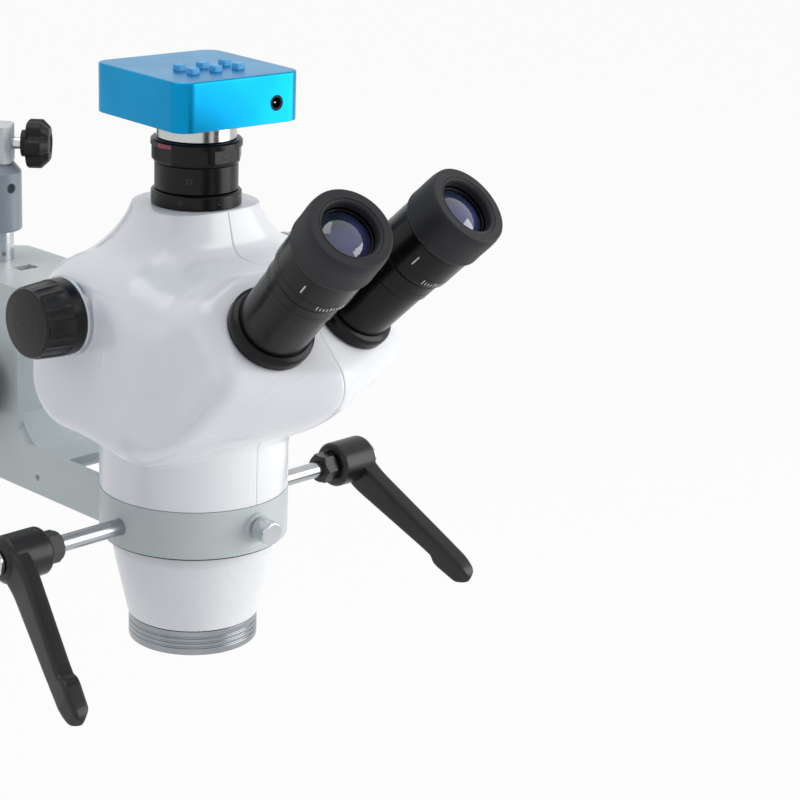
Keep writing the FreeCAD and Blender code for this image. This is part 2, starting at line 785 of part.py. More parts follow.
# Zoom carriage: slides on the guide rods, with a rack behind the pinion and two lens cells
carriage_rack = new_body("carriage_rack")
pad(carriage_rack, "XY_Plane", box_points("-zoom_gear_width / 2", "zoom_gear_width / 2",
                                          RACK_FACE + " - zoom_gear", RACK_FACE + " + 4"),
    "zoom_z * 2 - zoom_rack_low * 2", "zoom_rack_low")


def rack_gap(body, module, face, middle, half_width, toward):
    """One gap of a rack, its open side toward -Y, cut along X at a height."""
    deep = "%s + 1.25 * %s" % (face, module)
    mouth = "%s - 1.3 * %s" % (face, module)
    return pocket(body, "YZ_Plane", [
        (deep, "%s - 0.42 * %s" % (middle, module)),
        (mouth, "%s - 1.36 * %s" % (middle, module)),
        (mouth, "%s + 1.36 * %s" % (middle, module)),
        (deep, "%s + 0.42 * %s" % (middle, module)),
    ], "2 * (%s)" % half_width, "-(%s)" % half_width, reverse=toward)


# the pinion has a gap toward the rack, so a tooth of the rack stands at the pinion's height
zoom_first = rack_gap(carriage_rack, "zoom_gear", RACK_FACE,
                      "zoom_z - (zoom_rack_count - 1) * zoom_gear * pi / 2", "zoom_gear_width / 2", True)
along(carriage_rack, zoom_first, "Z_Axis", "(zoom_rack_count - 1) * zoom_gear * pi", "zoom_rack_count")
carriage_plate = new_body("carriage_plate")
pad(carriage_plate, "XY_Plane", box_points("-carriage_half_x", "carriage_half_x", "-14", "frame_wall_y - 1"),
    "carriage_thick", "carriage_low")
carriage_post = new_body("carriage_post")
pad(carriage_post, "XY_Plane", box_points("-zoom_gear_width / 2", "zoom_gear_width / 2",
                                          RACK_FACE + " + 1", RACK_FACE + " + 4"),
    "zoom_rack_low - carriage_low", "carriage_low")
carriage_holes = [
    rod("guide_hole", "rod_r + run_gap", "carriage_thick", x=text, y="rod_y", z="carriage_low")
    for text in ("rod_x", "-rod_x")
]
carriage_holes += [
    rod("cell_hole", "lens_cell_r", "carriage_thick", x=text, y="lens_cell_y", z="carriage_low")
    for text in ("lens_cell_x", "-lens_cell_x")
]
carriage = cut("carriage_solid", fuse("carriage_pieces", [carriage_plate, carriage_post, carriage_rack]),
               carriage_holes)
keep(carriage, "zoom_carriage")

# Zoom lenses: one lens for each eye in the carriage's cells, bulged on its upper side
lens_solids = []
for text in ("lens_cell_x", "-lens_cell_x"):
    blank = rod("lens_blank", "lens_cell_r - run_gap", "4", x=text, y="lens_cell_y", z="carriage_low + 1")
    ball = doc.addObject("Part::Sphere", "lens_ball")
    bind(ball, "Radius", "lens_cell_r * 3")
    put(ball, text, "lens_cell_y", "carriage_low + 5 - lens_cell_r * 3")
    lens = doc.addObject("Part::MultiCommon", "lens_solid")
    lens.Shapes = [blank, ball]
    lens_solids.append(lens)
lens_pair = doc.addObject("Part::Compound", "lens_pair")
lens_pair.Links = lens_solids
keep(lens_pair, "zoom_lenses")

# Port base ring and port tube: the black fixed part of the camera port
keep(lathe("port_base_ring", [
    ("port_bore_r", "housing_top + 0.3"),
    ("port_ring_r", "housing_top + 0.3"),
    ("port_ring_r", "port_ring_top - 0.8"),
    ("port_ring_r - 0.8", "port_ring_top"),
    ("port_bore_r", "port_ring_top"),
]), "port_base_ring")
keep(lathe("port_tube", [
    ("light_bore_r", "housing_top - 8"),
    ("port_bore_r - run_gap", "housing_top - 8"),
    ("port_bore_r - run_gap", "port_ring_top + 0.3"),
    ("port_tube_r", "port_ring_top + 0.3"),
    ("port_tube_r", "port_tube_top"),
    ("port_neck_r", "port_tube_top"),
    ("port_neck_r", "parfocal_top"),
    ("light_bore_r", "parfocal_top"),
]), "port_tube")

# Parfocal ring: turns on the port tube's neck, with eight flats for the fingers
parfocal = new_body("parfocal_body")
turn(parfocal, [
    ("port_neck_r + run_gap", "parfocal_low"),
    ("parfocal_r - 1.4", "parfocal_low"),
    ("parfocal_r", "parfocal_low + 2"),
    ("parfocal_r", "parfocal_top - 0.8"),
    ("parfocal_r - 0.8", "parfocal_top"),
    ("port_neck_r + run_gap", "parfocal_top"),
])
flat_cut = pocket(parfocal, "XY_Plane", box_points("parfocal_flat", "parfocal_r + 2", "-5", "5"),
                  "parfocal_top - parfocal_low - 3", "parfocal_low", reverse=True)
around(parfocal, flat_cut, "8")
keep(parfocal, "parfocal_ring")

# C-mount ring: bright turned ring with a spigot in the port tube
keep(lathe("cmount_ring", [
    ("sensor_bore_r", "parfocal_top - spigot_length"),
    ("light_bore_r - run_gap", "parfocal_top - spigot_length"),
    ("light_bore_r - run_gap", "parfocal_top + seat_gap"),
    ("mount_ring_r", "parfocal_top + seat_gap"),
    ("mount_ring_r", "mount_ring_top"),
    ("sensor_bore_r", "mount_ring_top"),
]), "cmount_ring")

# Camera case: a five-sided anodised shell with rounded corners, button holes and side cut-outs
SIDE = "(camera_side / 2)"
INSIDE = "(camera_side / 2 - camera_wall)"
case = new_body("camera_case_body")
pad(case, "XY_Plane", box_points("-" + SIDE, SIDE, "-" + SIDE, SIDE), "camera_high - camera_low", "camera_low")
doc.recompute()


def upright(shape, reach):
    """Names of the upright edges whose ends lie beyond a reach from both mid-planes."""
    return ["Edge%d" % (i + 1) for i, edge in enumerate(shape.Edges)
            if abs(edge.Vertexes[0].Z - edge.Vertexes[-1].Z) > 1
            and min(abs(edge.Vertexes[0].X), abs(edge.Vertexes[0].Y)) > reach]


blank = case.Tip
corner = case.newObject("PartDesign::Fillet", "case_corners")
corner.Base = (blank, upright(case.Shape, 1))
bind(corner, "Radius", "camera_corner")
doc.recompute()
lip = case.newObject("PartDesign::Chamfer", "case_edge")
lip.Base = (corner, ["Edge%d" % (i + 1) for i, edge in enumerate(case.Shape.Edges)
                     if min(vertex.Z for vertex in edge.Vertexes) > SIZES["camera_high"] - 0.01])
bind(lip, "Size", "camera_edge")
doc.recompute()
pocket(case, "XY_Plane", box_points("-" + INSIDE, INSIDE, "-" + INSIDE, INSIDE),
       "camera_high - camera_low - camera_wall", "camera_low", reverse=True)
HOLE = "(button_side / 2 + button_clear)"
BUTTONS = [(column, line) for line in (0, 1) for column in (-1, 0, 1)]


def button_at(column, line):
    """Expressions of a button's centre in the camera's own frame."""
    return ("button_col_x + %d * button_pitch_x" % column, "button_row_y - %d * button_pitch_y" % line)


for column, line in BUTTONS:
    x, y = button_at(column, line)
    pocket(case, "XY_Plane", box_points("%s - %s" % (x, HOLE), "%s + %s" % (x, HOLE), "%s - %s" % (y, HOLE),
                                        "%s + %s" % (y, HOLE)), "camera_wall + 2", "camera_high - camera_wall - 1",
           reverse=True)
socket_cut = [
    rod("jack_cut", "jack_hole_r", "camera_wall + 2", x="jack_x", y="-(%s) + camera_wall + 1" % SIDE,
        z="jack_z", axis=TO_MINUS_Y[0], angle=TO_MINUS_Y[1]),
]
rear_cut = new_body("rear_cut")
pad(rear_cut, "XZ_Plane", box_points("-16", "0", "jack_z - 3", "jack_z + 3.2"), "camera_wall + 2",
    "-(%s) - 1" % SIDE)
usb_cut = new_body("usb_cut")
pad(usb_cut, "XZ_Plane", box_points("6", "19", "jack_z - 3.2", "jack_z + 3.2"), "camera_wall + 2",
    "-(%s) - 1" % SIDE)
case_solid = cut("camera_case_solid", case, socket_cut + [rear_cut, usb_cut])
put(case_solid, axis=(0, 0, 1), angle=SIZES["camera_turn"])
keep(case_solid, "camera_case")

# Camera base plate: closes the case from below and carries the mount thread
PLATE = "(camera_side / 2 - camera_wall - 0.3)"
base_body = new_body("base_body")
pad(base_body, "XY_Plane", box_points("-" + PLATE, PLATE, "-" + PLATE, PLATE), "base_plate", "camera_low")
base_solid = cut("base_solid", base_body, [
    rod("base_bore", "sensor_bore_r", "base_plate", z="camera_low"),
])
put(base_solid, axis=(0, 0, 1), angle=SIZES["camera_turn"])
keep(base_solid, "camera_base")

# Camera board: circuit board with the sensor below, the power jack and the sockets on its edge
board_plate = new_body("board_plate")
pad(board_plate, "XY_Plane", box_points("-" + PLATE, PLATE, "-" + PLATE, PLATE), "board_thick", "board_z + 4")
sensor = new_body("sensor")
pad(sensor, "XY_Plane", box_points("-9", "9", "-7", "7"), "board_z + 4.2 - camera_low - base_plate - seat_gap",
    "camera_low + base_plate + seat_gap")
jack = cut("jack_solid", rod("jack_shell", "jack_r", "11.5", x="jack_x", y="-(%s) + 11.8" % SIDE, z="jack_z",
                             axis=TO_MINUS_Y[0], angle=TO_MINUS_Y[1]),
           [rod("jack_bore", "jack_r - 0.7", "9", x="jack_x", y="-(%s) + 8.7" % SIDE, z="jack_z",
                axis=TO_MINUS_Y[0], angle=TO_MINUS_Y[1])])
jack_post = new_body("jack_post")
pad(jack_post, "XY_Plane", box_points("jack_x - 3", "jack_x + 3", "-(%s) + 9.5" % SIDE, "-(%s) + 12" % SIDE),
    "board_z + 4.2 - jack_z", "jack_z")
ports = []
for low, high in (("-15.5", "-0.5"), ("6.5", "18.5")):
    port = new_body("port_shell")
    pad(port, "XY_Plane", box_points(low, high, "%s - 13" % SIDE, "%s - camera_wall - 0.3" % SIDE), "board_z + 4.2 - jack_z + 2.6",
        "jack_z - 2.6")
    ports.append(port)
for column, line in BUTTONS:
    x, y = button_at(column, line)
    switch = new_body("switch")
    pad(switch, "XY_Plane", box_points(x + " - 1.5", x + " + 1.5", y + " - 1.5", y + " + 1.5"),
        "camera_high - camera_wall - button_flange - 0.7 - board_z - 5", "board_z + 5")
    ports.append(switch)
board_solid = fuse("board_solid", [board_plate, sensor, jack, jack_post] + ports)
put(board_solid, axis=(0, 0, 1), angle=SIZES["camera_turn"])
keep(board_solid, "camera_board")

# Camera buttons: square caps with a flange under the case, each sprung upward
for number, (column, line) in enumerate(BUTTONS, start=1):
    x, y = button_at(column, line)
    half = "button_side / 2"
    wide = "(button_side / 2 + 0.8)"
    button = new_body("button_body")
    pad(button, "XY_Plane", box_points("%s - %s" % (x, half), "%s + %s" % (x, half), "%s - %s" % (y, half),
                                       "%s + %s" % (y, half)), "button_rise + camera_wall + 0.3",
        "camera_high - camera_wall - 0.3")
    pad(button, "XY_Plane", box_points("%s - %s" % (x, wide), "%s + %s" % (x, wide), "%s - %s" % (y, wide),
                                       "%s + %s" % (y, wide)), "button_flange",
        "camera_high - camera_wall - 0.1 - button_flange")
    put(button, axis=(0, 0, 1), angle=SIZES["camera_turn"])
    keep(button, "camera_button_%d" % number)


def in_eye_frame(thing, side, label):
    """Stand a sub-part on its eyetube's seat and keep it."""
    thing.Placement = eye_frame(side)
    keep(thing, label)


# Binocular part: the pieces of one side share the eyetube's axis, which spreads outward to the eye
for side, word in ((-1, "left"), (1, "right")):
    flange = lathe("flange_disc_" + word, [
        ("eyepiece_bore_r", "seat_gap"),
        ("flange_r", "seat_gap"),
        ("flange_r", "flange_thick - 2.4"),
        ("flange_r - 0.8", "flange_thick - 0.9"),
        ("flange_r - 2.6", "flange_thick"),
        ("eyepiece_bore_r", "flange_thick"),
    ])
    web = rod("flange_web", "flange_r - 3", "2", z="seat_gap")
    stem = rod("trunnion", "trunnion_r", "trunnion_depth", y="-swivel_offset", z="seat_gap - trunnion_depth")
    light = rod("trunnion_light", "trunnion_bore_r", "trunnion_depth + 4", y="-swivel_offset",
                z="-trunnion_depth")
    in_eye_frame(cut("flange_solid_" + word, fuse("flange_union_" + word, [flange, web, stem]), [light]), side,
                 "eyetube_flange_" + word)
    glass_block = doc.addObject("Part::Box", "prism_block_" + word)
    for prop in ("Length", "Width", "Height"):
        bind(glass_block, prop, "prism_side")
    put(glass_block, "-prism_side / 2", "-swivel_offset - prism_side / 2", "-trunnion_depth - prism_side")
    in_eye_frame(fuse("prism_" + word, [glass_block, rod("prism_peg", "trunnion_bore_r - 1", "0.5",
                                                         y="-swivel_offset", z="-trunnion_depth - 0.5")]),
                 side, "prism_" + word)
    in_eye_frame(lathe("eyetube_" + word, [
        ("eyetube_bore_r", "flange_thick + seat_gap"),
        ("eyetube_r", "flange_thick + seat_gap"),
        ("eyetube_r", "eyetube_top"),
        ("eyetube_bore_r + 0.6", "eyetube_top"),
        ("eyetube_bore_r + 0.6", "dioptre_top - 0.6"),
        ("eyetube_bore_r", "dioptre_top - 0.6"),
    ]), side, "eyetube_" + word)
    in_eye_frame(lathe("dioptre_ring_" + word, [
        ("eyetube_bore_r + 0.6 + run_gap", "eyetube_top + seat_gap"),
        ("dioptre_r - 0.5", "eyetube_top + seat_gap"),
        ("dioptre_r", "eyetube_top + 0.8"),
        ("dioptre_r", "dioptre_top - 0.5"),
        ("dioptre_r - 0.5", "dioptre_top"),
        ("eyetube_bore_r + 0.6 + run_gap", "dioptre_top"),
    ]), side, "dioptre_ring_" + word)
    in_eye_frame(lathe("eyepiece_" + word, [
        ("eyepiece_bore_r", "flange_thick + 12"),
        ("eyetube_bore_r - run_gap", "flange_thick + 12"),
        ("eyetube_bore_r - run_gap", "dioptre_top + seat_gap"),
        ("eyepiece_r - 1.2", "dioptre_top + seat_gap"),
        ("eyepiece_r", "dioptre_top + 2"),
        ("eyepiece_r", "eyepiece_top"),
        ("eyecup_bore_r + 1.4", "eyepiece_top"),
        ("eyecup_bore_r + 1.4", "eyecup_top - 5"),
        ("eyepiece_bore_r + 0.6", "eyecup_top - 5"),
        ("eyepiece_bore_r + 0.6", "eyecup_top - 9"),
        ("eyepiece_bore_r", "eyecup_top - 9"),
    ]), side, "eyepiece_" + word)
    eye_rim = rod("eye_rim", "eyepiece_bore_r + 0.6 - run_gap", "5.6", z="eyecup_top - 9 + run_gap")
    eye_dome = doc.addObject("Part::Sphere", "eye_dome")
    bind(eye_dome, "Radius", "eyepiece_bore_r * 2.2")
    put(eye_dome, z="eyecup_top - 3.4 - eyepiece_bore_r * 2.2")
    eye_glass = doc.addObject("Part::MultiCommon", "eye_glass_" + word)
    eye_glass.Shapes = [eye_rim, eye_dome]
    in_eye_frame(eye_glass, side, "eye_lens_" + word)
    in_eye_frame(lathe("eyecup_" + word, [
        ("eyecup_bore_r + 1.4 + run_gap", "eyepiece_top + seat_gap"),
        ("eyecup_r - 1", "eyepiece_top + seat_gap"),
        ("eyecup_r", "eyepiece_top + 1.4"),
        ("eyecup_r", "eyecup_top - 5"),
        ("eyecup_rim_r", "eyecup_top"),
        ("eyecup_rim_r - 5.2", "eyecup_top"),
        ("eyecup_bore_r", "eyecup_top - 1.6"),
        ("eyecup_bore_r", "eyecup_top - 4.7"),
        ("eyecup_bore_r + 1.4 + run_gap", "eyecup_top - 4.7"),
    ]), side, "eyecup_" + word)

# Arm casting: clamp ring, two thin cheeks, a web curving up into the block, and the dovetail groove
clamp_ring = lathe("clamp_ring", [
    ("ring_bore_r", "ring_low"),
    (RING_R, "ring_low"),
    (RING_R, "ring_top"),
    ("ring_bore_r", "ring_top"),
])
arm_block = new_body("arm_block")
pad(arm_block, "XZ_Plane", [
    ("-arm_half_x", "ring_low"),
    ("arm_half_x", "ring_low"),
    ("arm_half_x", "arm_taper_z"),
    ("arm_top_half_x", "arm_top"),
    ("-arm_top_half_x", "arm_top"),
    ("-arm_half_x", "arm_taper_z"),
], "arm_rear - arm_front", "-arm_rear")
cheeks = []
for low in ("-arm_half_x", "arm_half_x - cheek_thick"):
    cheek = new_body("cheek")
    pad(cheek, "YZ_Plane", [
        ("ring_bore_r * 0.82", "ring_low"),
        ("arm_front + 1", "ring_low"),
        ("arm_front + 1", "arm_top - 6"),
        ("arm_front - 2", "arm_top - 14"),
        ("arm_front - 2", "ring_top + 7"),
        ("arm_front - 8", "ring_top + 0.4"),
        ("ring_bore_r * 0.82", "ring_top"),
    ], "cheek_thick", low)
    cheeks.append(cheek)
web = new_body("web_body")
pad(web, "YZ_Plane", [
    ("web_front", "web_top - web_thick"),
    ("arm_front + 1", "web_top - web_thick"),
    ("arm_front + 1", "web_top + web_round"),
    ("arm_front - web_round * 0.29", "web_top + web_round * 0.5"),
    ("arm_front - web_round * 0.6", "web_top + web_round * 0.16"),
    ("arm_front - web_round", "web_top"),
    ("web_front", "web_top"),
], "2 * arm_half_x - 2 * cheek_thick + 0.4", "-(arm_half_x - cheek_thick + 0.2)")
lock_boss = rod("lock_boss", "lock_boss_r", "9", y="-(%s) + 7.4" % RING_R, z="lock_z", axis=TO_MINUS_Y[0],
                angle=TO_MINUS_Y[1])
arm_union = fuse("arm_union", [clamp_ring, arm_block, web, lock_boss] + cheeks)
groove = new_body("groove")
pad(groove, "XY_Plane", [
    ("-dovetail_root - slide_gap", "arm_rear + 1"),
    ("-dovetail_root - slide_gap", "slide_front"),
    ("-dovetail_tip - slide_gap", "dovetail_front - slide_gap"),
    ("dovetail_tip + slide_gap", "dovetail_front - slide_gap"),
    ("dovetail_root + slide_gap", "slide_front"),
    ("dovetail_root + slide_gap", "arm_rear + 1"),
], "arm_top - ring_low + 4", "ring_low - 2")
RACK_FRONT = "(focus_y + %s)" % FOCUS_PITCH
rack_slot = new_body("rack_slot")
pad(rack_slot, "XY_Plane", box_points("-focus_rack_half_x - 0.6", "focus_rack_half_x + 0.6",
                                      RACK_FRONT + " - focus_gear - 0.5", "dovetail_front + 1"),
    "arm_top - ring_low + 4", "ring_low - 2")
pinion_room = rod("pinion_room", FOCUS_PITCH + " + focus_gear + 0.6", "2 * focus_rack_half_x + 1.2",
                  x="-focus_rack_half_x - 0.6", y="focus_y", z="focus_z", axis=TO_PLUS_X[0], angle=TO_PLUS_X[1])
shaft_bore = rod("shaft_bore", "focus_shaft_r + run_gap", "2 * arm_half_x + 4", x="-arm_half_x - 2", y="focus_y",
                 z="focus_z", axis=TO_PLUS_X[0], angle=TO_PLUS_X[1])
lock_bore = rod("lock_bore", "lock_stud_r + run_gap", "14", y="-ring_bore_r + 3", z="lock_z",
                axis=TO_MINUS_Y[0], angle=TO_MINUS_Y[1])
rod_bores = [
    rod("rod_bore", "handle_rod_r + run_gap", "ring_wall + 3", x="ring_bore_r - 1", z="handle_z",
        axis=TO_PLUS_X[0], angle=TO_PLUS_X[1]),
    rod("rod_bore", "handle_rod_r + run_gap", "ring_wall + 3", x="-ring_bore_r + 1", z="handle_z",
        axis=TO_MINUS_X[0], angle=TO_MINUS_X[1]),
]
bore_clear = rod("bore_clear", "ring_bore_r", "ring_top - ring_low + 20", z="ring_low - 10")
cheek_hole = rod("cheek_hole", "1.6", "2 * arm_half_x + 4", x="-arm_half_x - 2", y="80", z="61.5",
                 axis=TO_PLUS_X[0], angle=TO_PLUS_X[1])
arm_cut = cut("arm_cut", arm_union, [groove, rack_slot, pinion_room, shaft_bore, lock_bore, bore_clear, cheek_hole]
              + rod_bores)
keep(arm_cut, "arm_casting")

# Slide block: the rear block with the male dovetail, clamped to the drop pin
slide = new_body("slide_body")
pad(slide, "XY_Plane", [
    ("-arm_top_half_x", "slide_front"),
    ("-dovetail_root", "slide_front"),
    ("-dovetail_tip", "dovetail_front"),
    ("dovetail_tip", "dovetail_front"),
    ("dovetail_root", "slide_front"),
    ("arm_top_half_x", "slide_front"),
    ("arm_top_half_x", "slide_rear - 6"),
    ("arm_top_half_x - 6", "slide_rear"),
    ("-arm_top_half_x + 6", "slide_rear"),
    ("-arm_top_half_x", "slide_rear - 6"),
], "arm_top - slide_low", "slide_low")
pocket(slide, "XY_Plane", box_points("-focus_rack_half_x - run_gap", "focus_rack_half_x + run_gap",
                                     "dovetail_front - 1", RACK_FRONT + " + 6 + run_gap"),
       "arm_top - slide_low", "slide_low", reverse=True)
slide_solid = cut("slide_solid", slide, [
    rod("pin_hole", "pin_r + run_gap", "arm_top - pin_low + 2", y="pin_y", z="pin_low - run_gap"),
])
keep(slide_solid, "slide_block")

# Focus rack: a toothed steel bar let into the dovetail's front
rack = new_body("rack_body")
pad(rack, "XY_Plane", box_points("-focus_rack_half_x", "focus_rack_half_x", RACK_FRONT + " - focus_gear",
                                 RACK_FRONT + " + 6"),
    "focus_rack_count * focus_gear * pi + 3", "slide_low + 1")
focus_first = rack_gap(rack, "focus_gear", RACK_FRONT,
                       "focus_z - round((focus_z - slide_low - 4) / (focus_gear * pi)) * focus_gear * pi",
                       "focus_rack_half_x", True)
along(rack, focus_first, "Z_Axis", "(focus_rack_count - 1) * focus_gear * pi", "focus_rack_count")
keep(rack, "focus_rack")

# Drop pin: the round steel post that the arm swings on
keep(lathe("post_pin", [
    ("0", "pin_low"),
    ("pin_r", "pin_low"),
    ("pin_r", "socket_screw_z - socket_screw_r - 1.5"),
    ("pin_r - 1", "socket_screw_z - socket_screw_r - 0.5"),
    ("pin_r - 1", "socket_screw_z + socket_screw_r + 0.5"),
    ("pin_r", "socket_screw_z + socket_screw_r + 1.5"),
    ("pin_r", "pin_top - 1"),
    ("pin_r - 1", "pin_top"),
    ("0", "pin_top"),
]), "post_pin")
put(PARTS[-1], y="pin_y")

# Focus shaft and knobs: the pinion in mesh with the rack, a knob at each end
focus_gear_body = new_body("focus_gear_body")
pinion(focus_gear_body, "focus_gear", "focus_teeth", "-focus_gear_width / 2", "focus_gear_width / 2",
       "focus_shaft_r")
focus_rod = rod("focus_rod", "focus_shaft_r", "2 * (focus_knob_out - 6)", z="-(focus_knob_out - 6)")
focus_shaft = fuse("focus_shaft_solid", [focus_gear_body, focus_rod])
put(focus_shaft, y="focus_y", z="focus_z", axis=TO_PLUS_X[0], angle=TO_PLUS_X[1])
keep(focus_shaft, "pinion_shaft")
for side, word in ((-1, "left"), (1, "right")):
    knob = new_body("focus_knob_" + word)
    turn(knob, [
        ("focus_shaft_r + run_gap", "focus_knob_in"),
        ("focus_knob_r - 5", "focus_knob_in"),
        ("focus_knob_r - 5", "focus_knob_in + 3"),
        ("focus_knob_r - 1", "focus_knob_in + 3"),
        ("focus_knob_r", "focus_knob_in + 4"),
        ("focus_knob_r", "focus_knob_out - 1.5"),
        ("focus_knob_r - 1.5", "focus_knob_out"),
        ("0", "focus_knob_out"),
        ("0", "focus_knob_out - 5.5"),
        ("focus_shaft_r + run_gap", "focus_knob_out - 5.5"),
    ])
    flute = pocket(knob, "XY_Plane", box_points("focus_knob_r - 0.8", "focus_knob_r + 1", "-1.3", "1.3"), "12",
                   "focus_knob_in + 6", reverse=True)
    around(knob, flute, "16")
    toward = TO_PLUS_X if side > 0 else TO_MINUS_X
    put(knob, y="focus_y", z="focus_z", axis=toward[0], angle=toward[1])
    keep(knob, "focus_knob_" + word)

# Head lock screw: a plain steel thumb screw through the clamp ring's front
lock_screw = lathe("lock_screw", [
    ("0", "ring_bore_r + seat_gap"),
    ("lock_stud_r", "ring_bore_r + seat_gap"),
    ("lock_stud_r", "lock_knob_in"),
    ("lock_knob_r - 0.6", "lock_knob_in"),
    ("lock_knob_r", "lock_knob_in + 0.6"),
    ("lock_knob_r", "lock_knob_out - 0.8"),
    ("lock_knob_r - 0.8", "lock_knob_out"),
    ("0", "lock_knob_out"),
])
put(lock_screw, z="lock_z", axis=TO_MINUS_Y[0], angle=TO_MINUS_Y[1])
keep(lock_screw, "head_lock_screw")

# Handles: rod in the ring, hex nut, lever handle on the rod's end and cap screw
for side, word in ((-1, "left"), (1, "right")):
    toward = TO_PLUS_X if side > 0 else TO_MINUS_X
    bar = lathe("handle_rod_" + word, [
        ("0", "ring_bore_r + seat_gap"),
        ("handle_rod_r", "ring_bore_r + seat_gap"),
        ("handle_rod_r", "rod_end"),
        ("0", "rod_end"),
    ])
    put(bar, z="handle_z", axis=toward[0], angle=toward[1])
    keep(bar, "handle_rod_" + word)
    nut = new_body("nut_body")
    hexagon = [("nut_r * %.6f" % math.cos(math.radians(60 * i)), "nut_r * %.6f" % math.sin(math.radians(60 * i)))
               for i in range(6)]
    pad(nut, "XY_Plane", hexagon, "nut_out - nut_in", "nut_in")
    nut_solid = cut("nut_solid", nut, [rod("nut_bore", "handle_rod_r + run_gap", "nut_out", z="0.5 * nut_in")])
    put(nut_solid, z="handle_z", axis=toward[0], angle=toward[1])
    keep(nut_solid, "hex_nut_" + word)
    # the lever's own frame has Z outward along the rod and X along the arm
    hub = lathe("lever_hub", [
        ("0", "hub_in"),
        ("hub_r - 1.5", "hub_in"),
        ("hub_r", "hub_in + 1.5"),
        ("hub_r", "hub_out - 3"),
        ("hub_r - 3", "hub_out"),
        ("0", "hub_out"),
    ])
    slant = new_body("lever_slant")
    pad(slant, "XZ_Plane", [
        ("0", "hub_out - 10.5"),
        ("hub_r", "hub_out - 10.5"),
        ("lever_length - 4", "hub_out - 10 + lever_slant"),
        ("lever_length", "hub_out - 7 + lever_slant"),
        ("lever_length - 2", "hub_out + lever_slant - 2"),
        ("lever_length - 12", "hub_out + lever_slant - 2"),
        ("hub_r + 4", "hub_out - 1"),
        ("0", "hub_out - 1"),
    ], "4 * lever_root", "-2 * lever_root")
    plan = new_body("lever_plan")
    pad(plan, "XY_Plane", [
        ("0", "-lever_straight"),
        ("lever_length - 10", "-lever_straight"),
        ("lever_length - 2", "-lever_straight * 0.6"),
        ("lever_length", "0"),
        ("lever_length - 2", "lever_lip * 0.7"),
        ("lever_length - 17", "lever_lip"),
        ("lever_length - 20", "lever_lip * 0.95"),
        ("lever_length - 21.5", "lever_neck"),
        ("10", "lever_root"),
        ("0", "lever_root"),
    ], "60", "hub_out - 30")
    arm = doc.addObject("Part::MultiCommon", "lever_arm")
    arm.Shapes = [slant, plan]
    lever = cut("lever_solid", fuse("lever_union", [hub, arm]), [
        rod("lever_bore", "handle_rod_r + run_gap", "rod_end + 0.3 - 0.5 * hub_in", z="0.5 * hub_in"),
    ])
    drop = math.radians(SIZES["lever_drop_" + word])
    reach = FreeCAD.Vector(0, -math.cos(drop), -math.sin(drop))
    out = FreeCAD.Vector(side, 0, 0)
    frame = FreeCAD.Rotation(reach, out.cross(reach), out, "ZXY")
    lever.Placement = FreeCAD.Placement(FreeCAD.Vector(0, 0, SIZES["handle_z"]), frame)
    keep(lever, "lever_handle_" + word)
    cap = new_body("cap_body")
    turn(cap, [
        ("0", "hub_out + seat_gap"),
        ("cap_r", "hub_out + seat_gap"),
        ("cap_r", "cap_out - 0.8"),
        ("cap_r - 0.8", "cap_out"),
        ("0", "cap_out"),
    ])
    pocket(cap, "XY_Plane", [("2.6 * %.6f" % math.cos(math.radians(60 * i)),
                              "2.6 * %.6f" % math.sin(math.radians(60 * i))) for i in range(6)],
           "3.2", "cap_out")
    put(cap, z="handle_z", axis=toward[0], angle=toward[1])
    keep(cap, "cap_screw_" + word)


def at_knuckle(thing, label):
    """Stand a sub-part on the boom end's own axis, which lies level and is turned about the pin."""
    turned = FreeCAD.Rotation(FreeCAD.Vector(0, 0, 1), SIZES["knuckle_turn"])
    stand = FreeCAD.Placement(FreeCAD.Vector(0, SIZES["pin_y"], 0), turned)
    thing.Placement = stand * thing.Placement
    keep(thing, label)


# Pin socket: grey turned sleeve that the drop pin turns in, with a set-screw hole facing the operator
socket = lathe("socket_sleeve", [
    ("pin_r + run_gap", "socket_low"),
    ("socket_r - 0.6", "socket_low"),
    ("socket_r", "socket_low + 0.6"),
    ("socket_r", "socket_top - 5"),
    ("socket_r - socket_chamfer", "socket_top"),
    ("pin_r + run_gap", "socket_top"),
])
put(socket, y="pin_y")
socket_solid = cut("socket_solid", socket, [
    rod("socket_hole", "socket_screw_r", "socket_r + 2", y="pin_y", z="socket_screw_z", axis=TO_MINUS_Y[0],
        angle=TO_MINUS_Y[1]),
])
keep(socket_solid, "pin_socket")

# Boom knuckle: bright block over the socket with the boom's blind bore behind and the stud's hole in front
knuckle = new_body("knuckle_body")
pad(knuckle, "XY_Plane", [
    ("-knuckle_back", "-9"),
    ("knuckle_half - 3", "-9"),
    ("knuckle_half", "-6"),
    ("knuckle_half", "6"),
    ("knuckle_half - 3", "9"),
    ("-knuckle_back", "9"),
], "knuckle_top - socket_top", "socket_top")
knuckle_solid = cut("knuckle_solid", knuckle, [
    rod("boom_bore", "boom_bore_r", "boom_bore_depth + 2", x="-knuckle_back - 2", z="boom_z", axis=TO_PLUS_X[0],
        angle=TO_PLUS_X[1]),
    rod("stud_bore", "stud_r + run_gap", "12", x="knuckle_half - 10", z="boom_z", axis=TO_PLUS_X[0],
        angle=TO_PLUS_X[1]),
])
at_knuckle(knuckle_solid, "boom_knuckle")

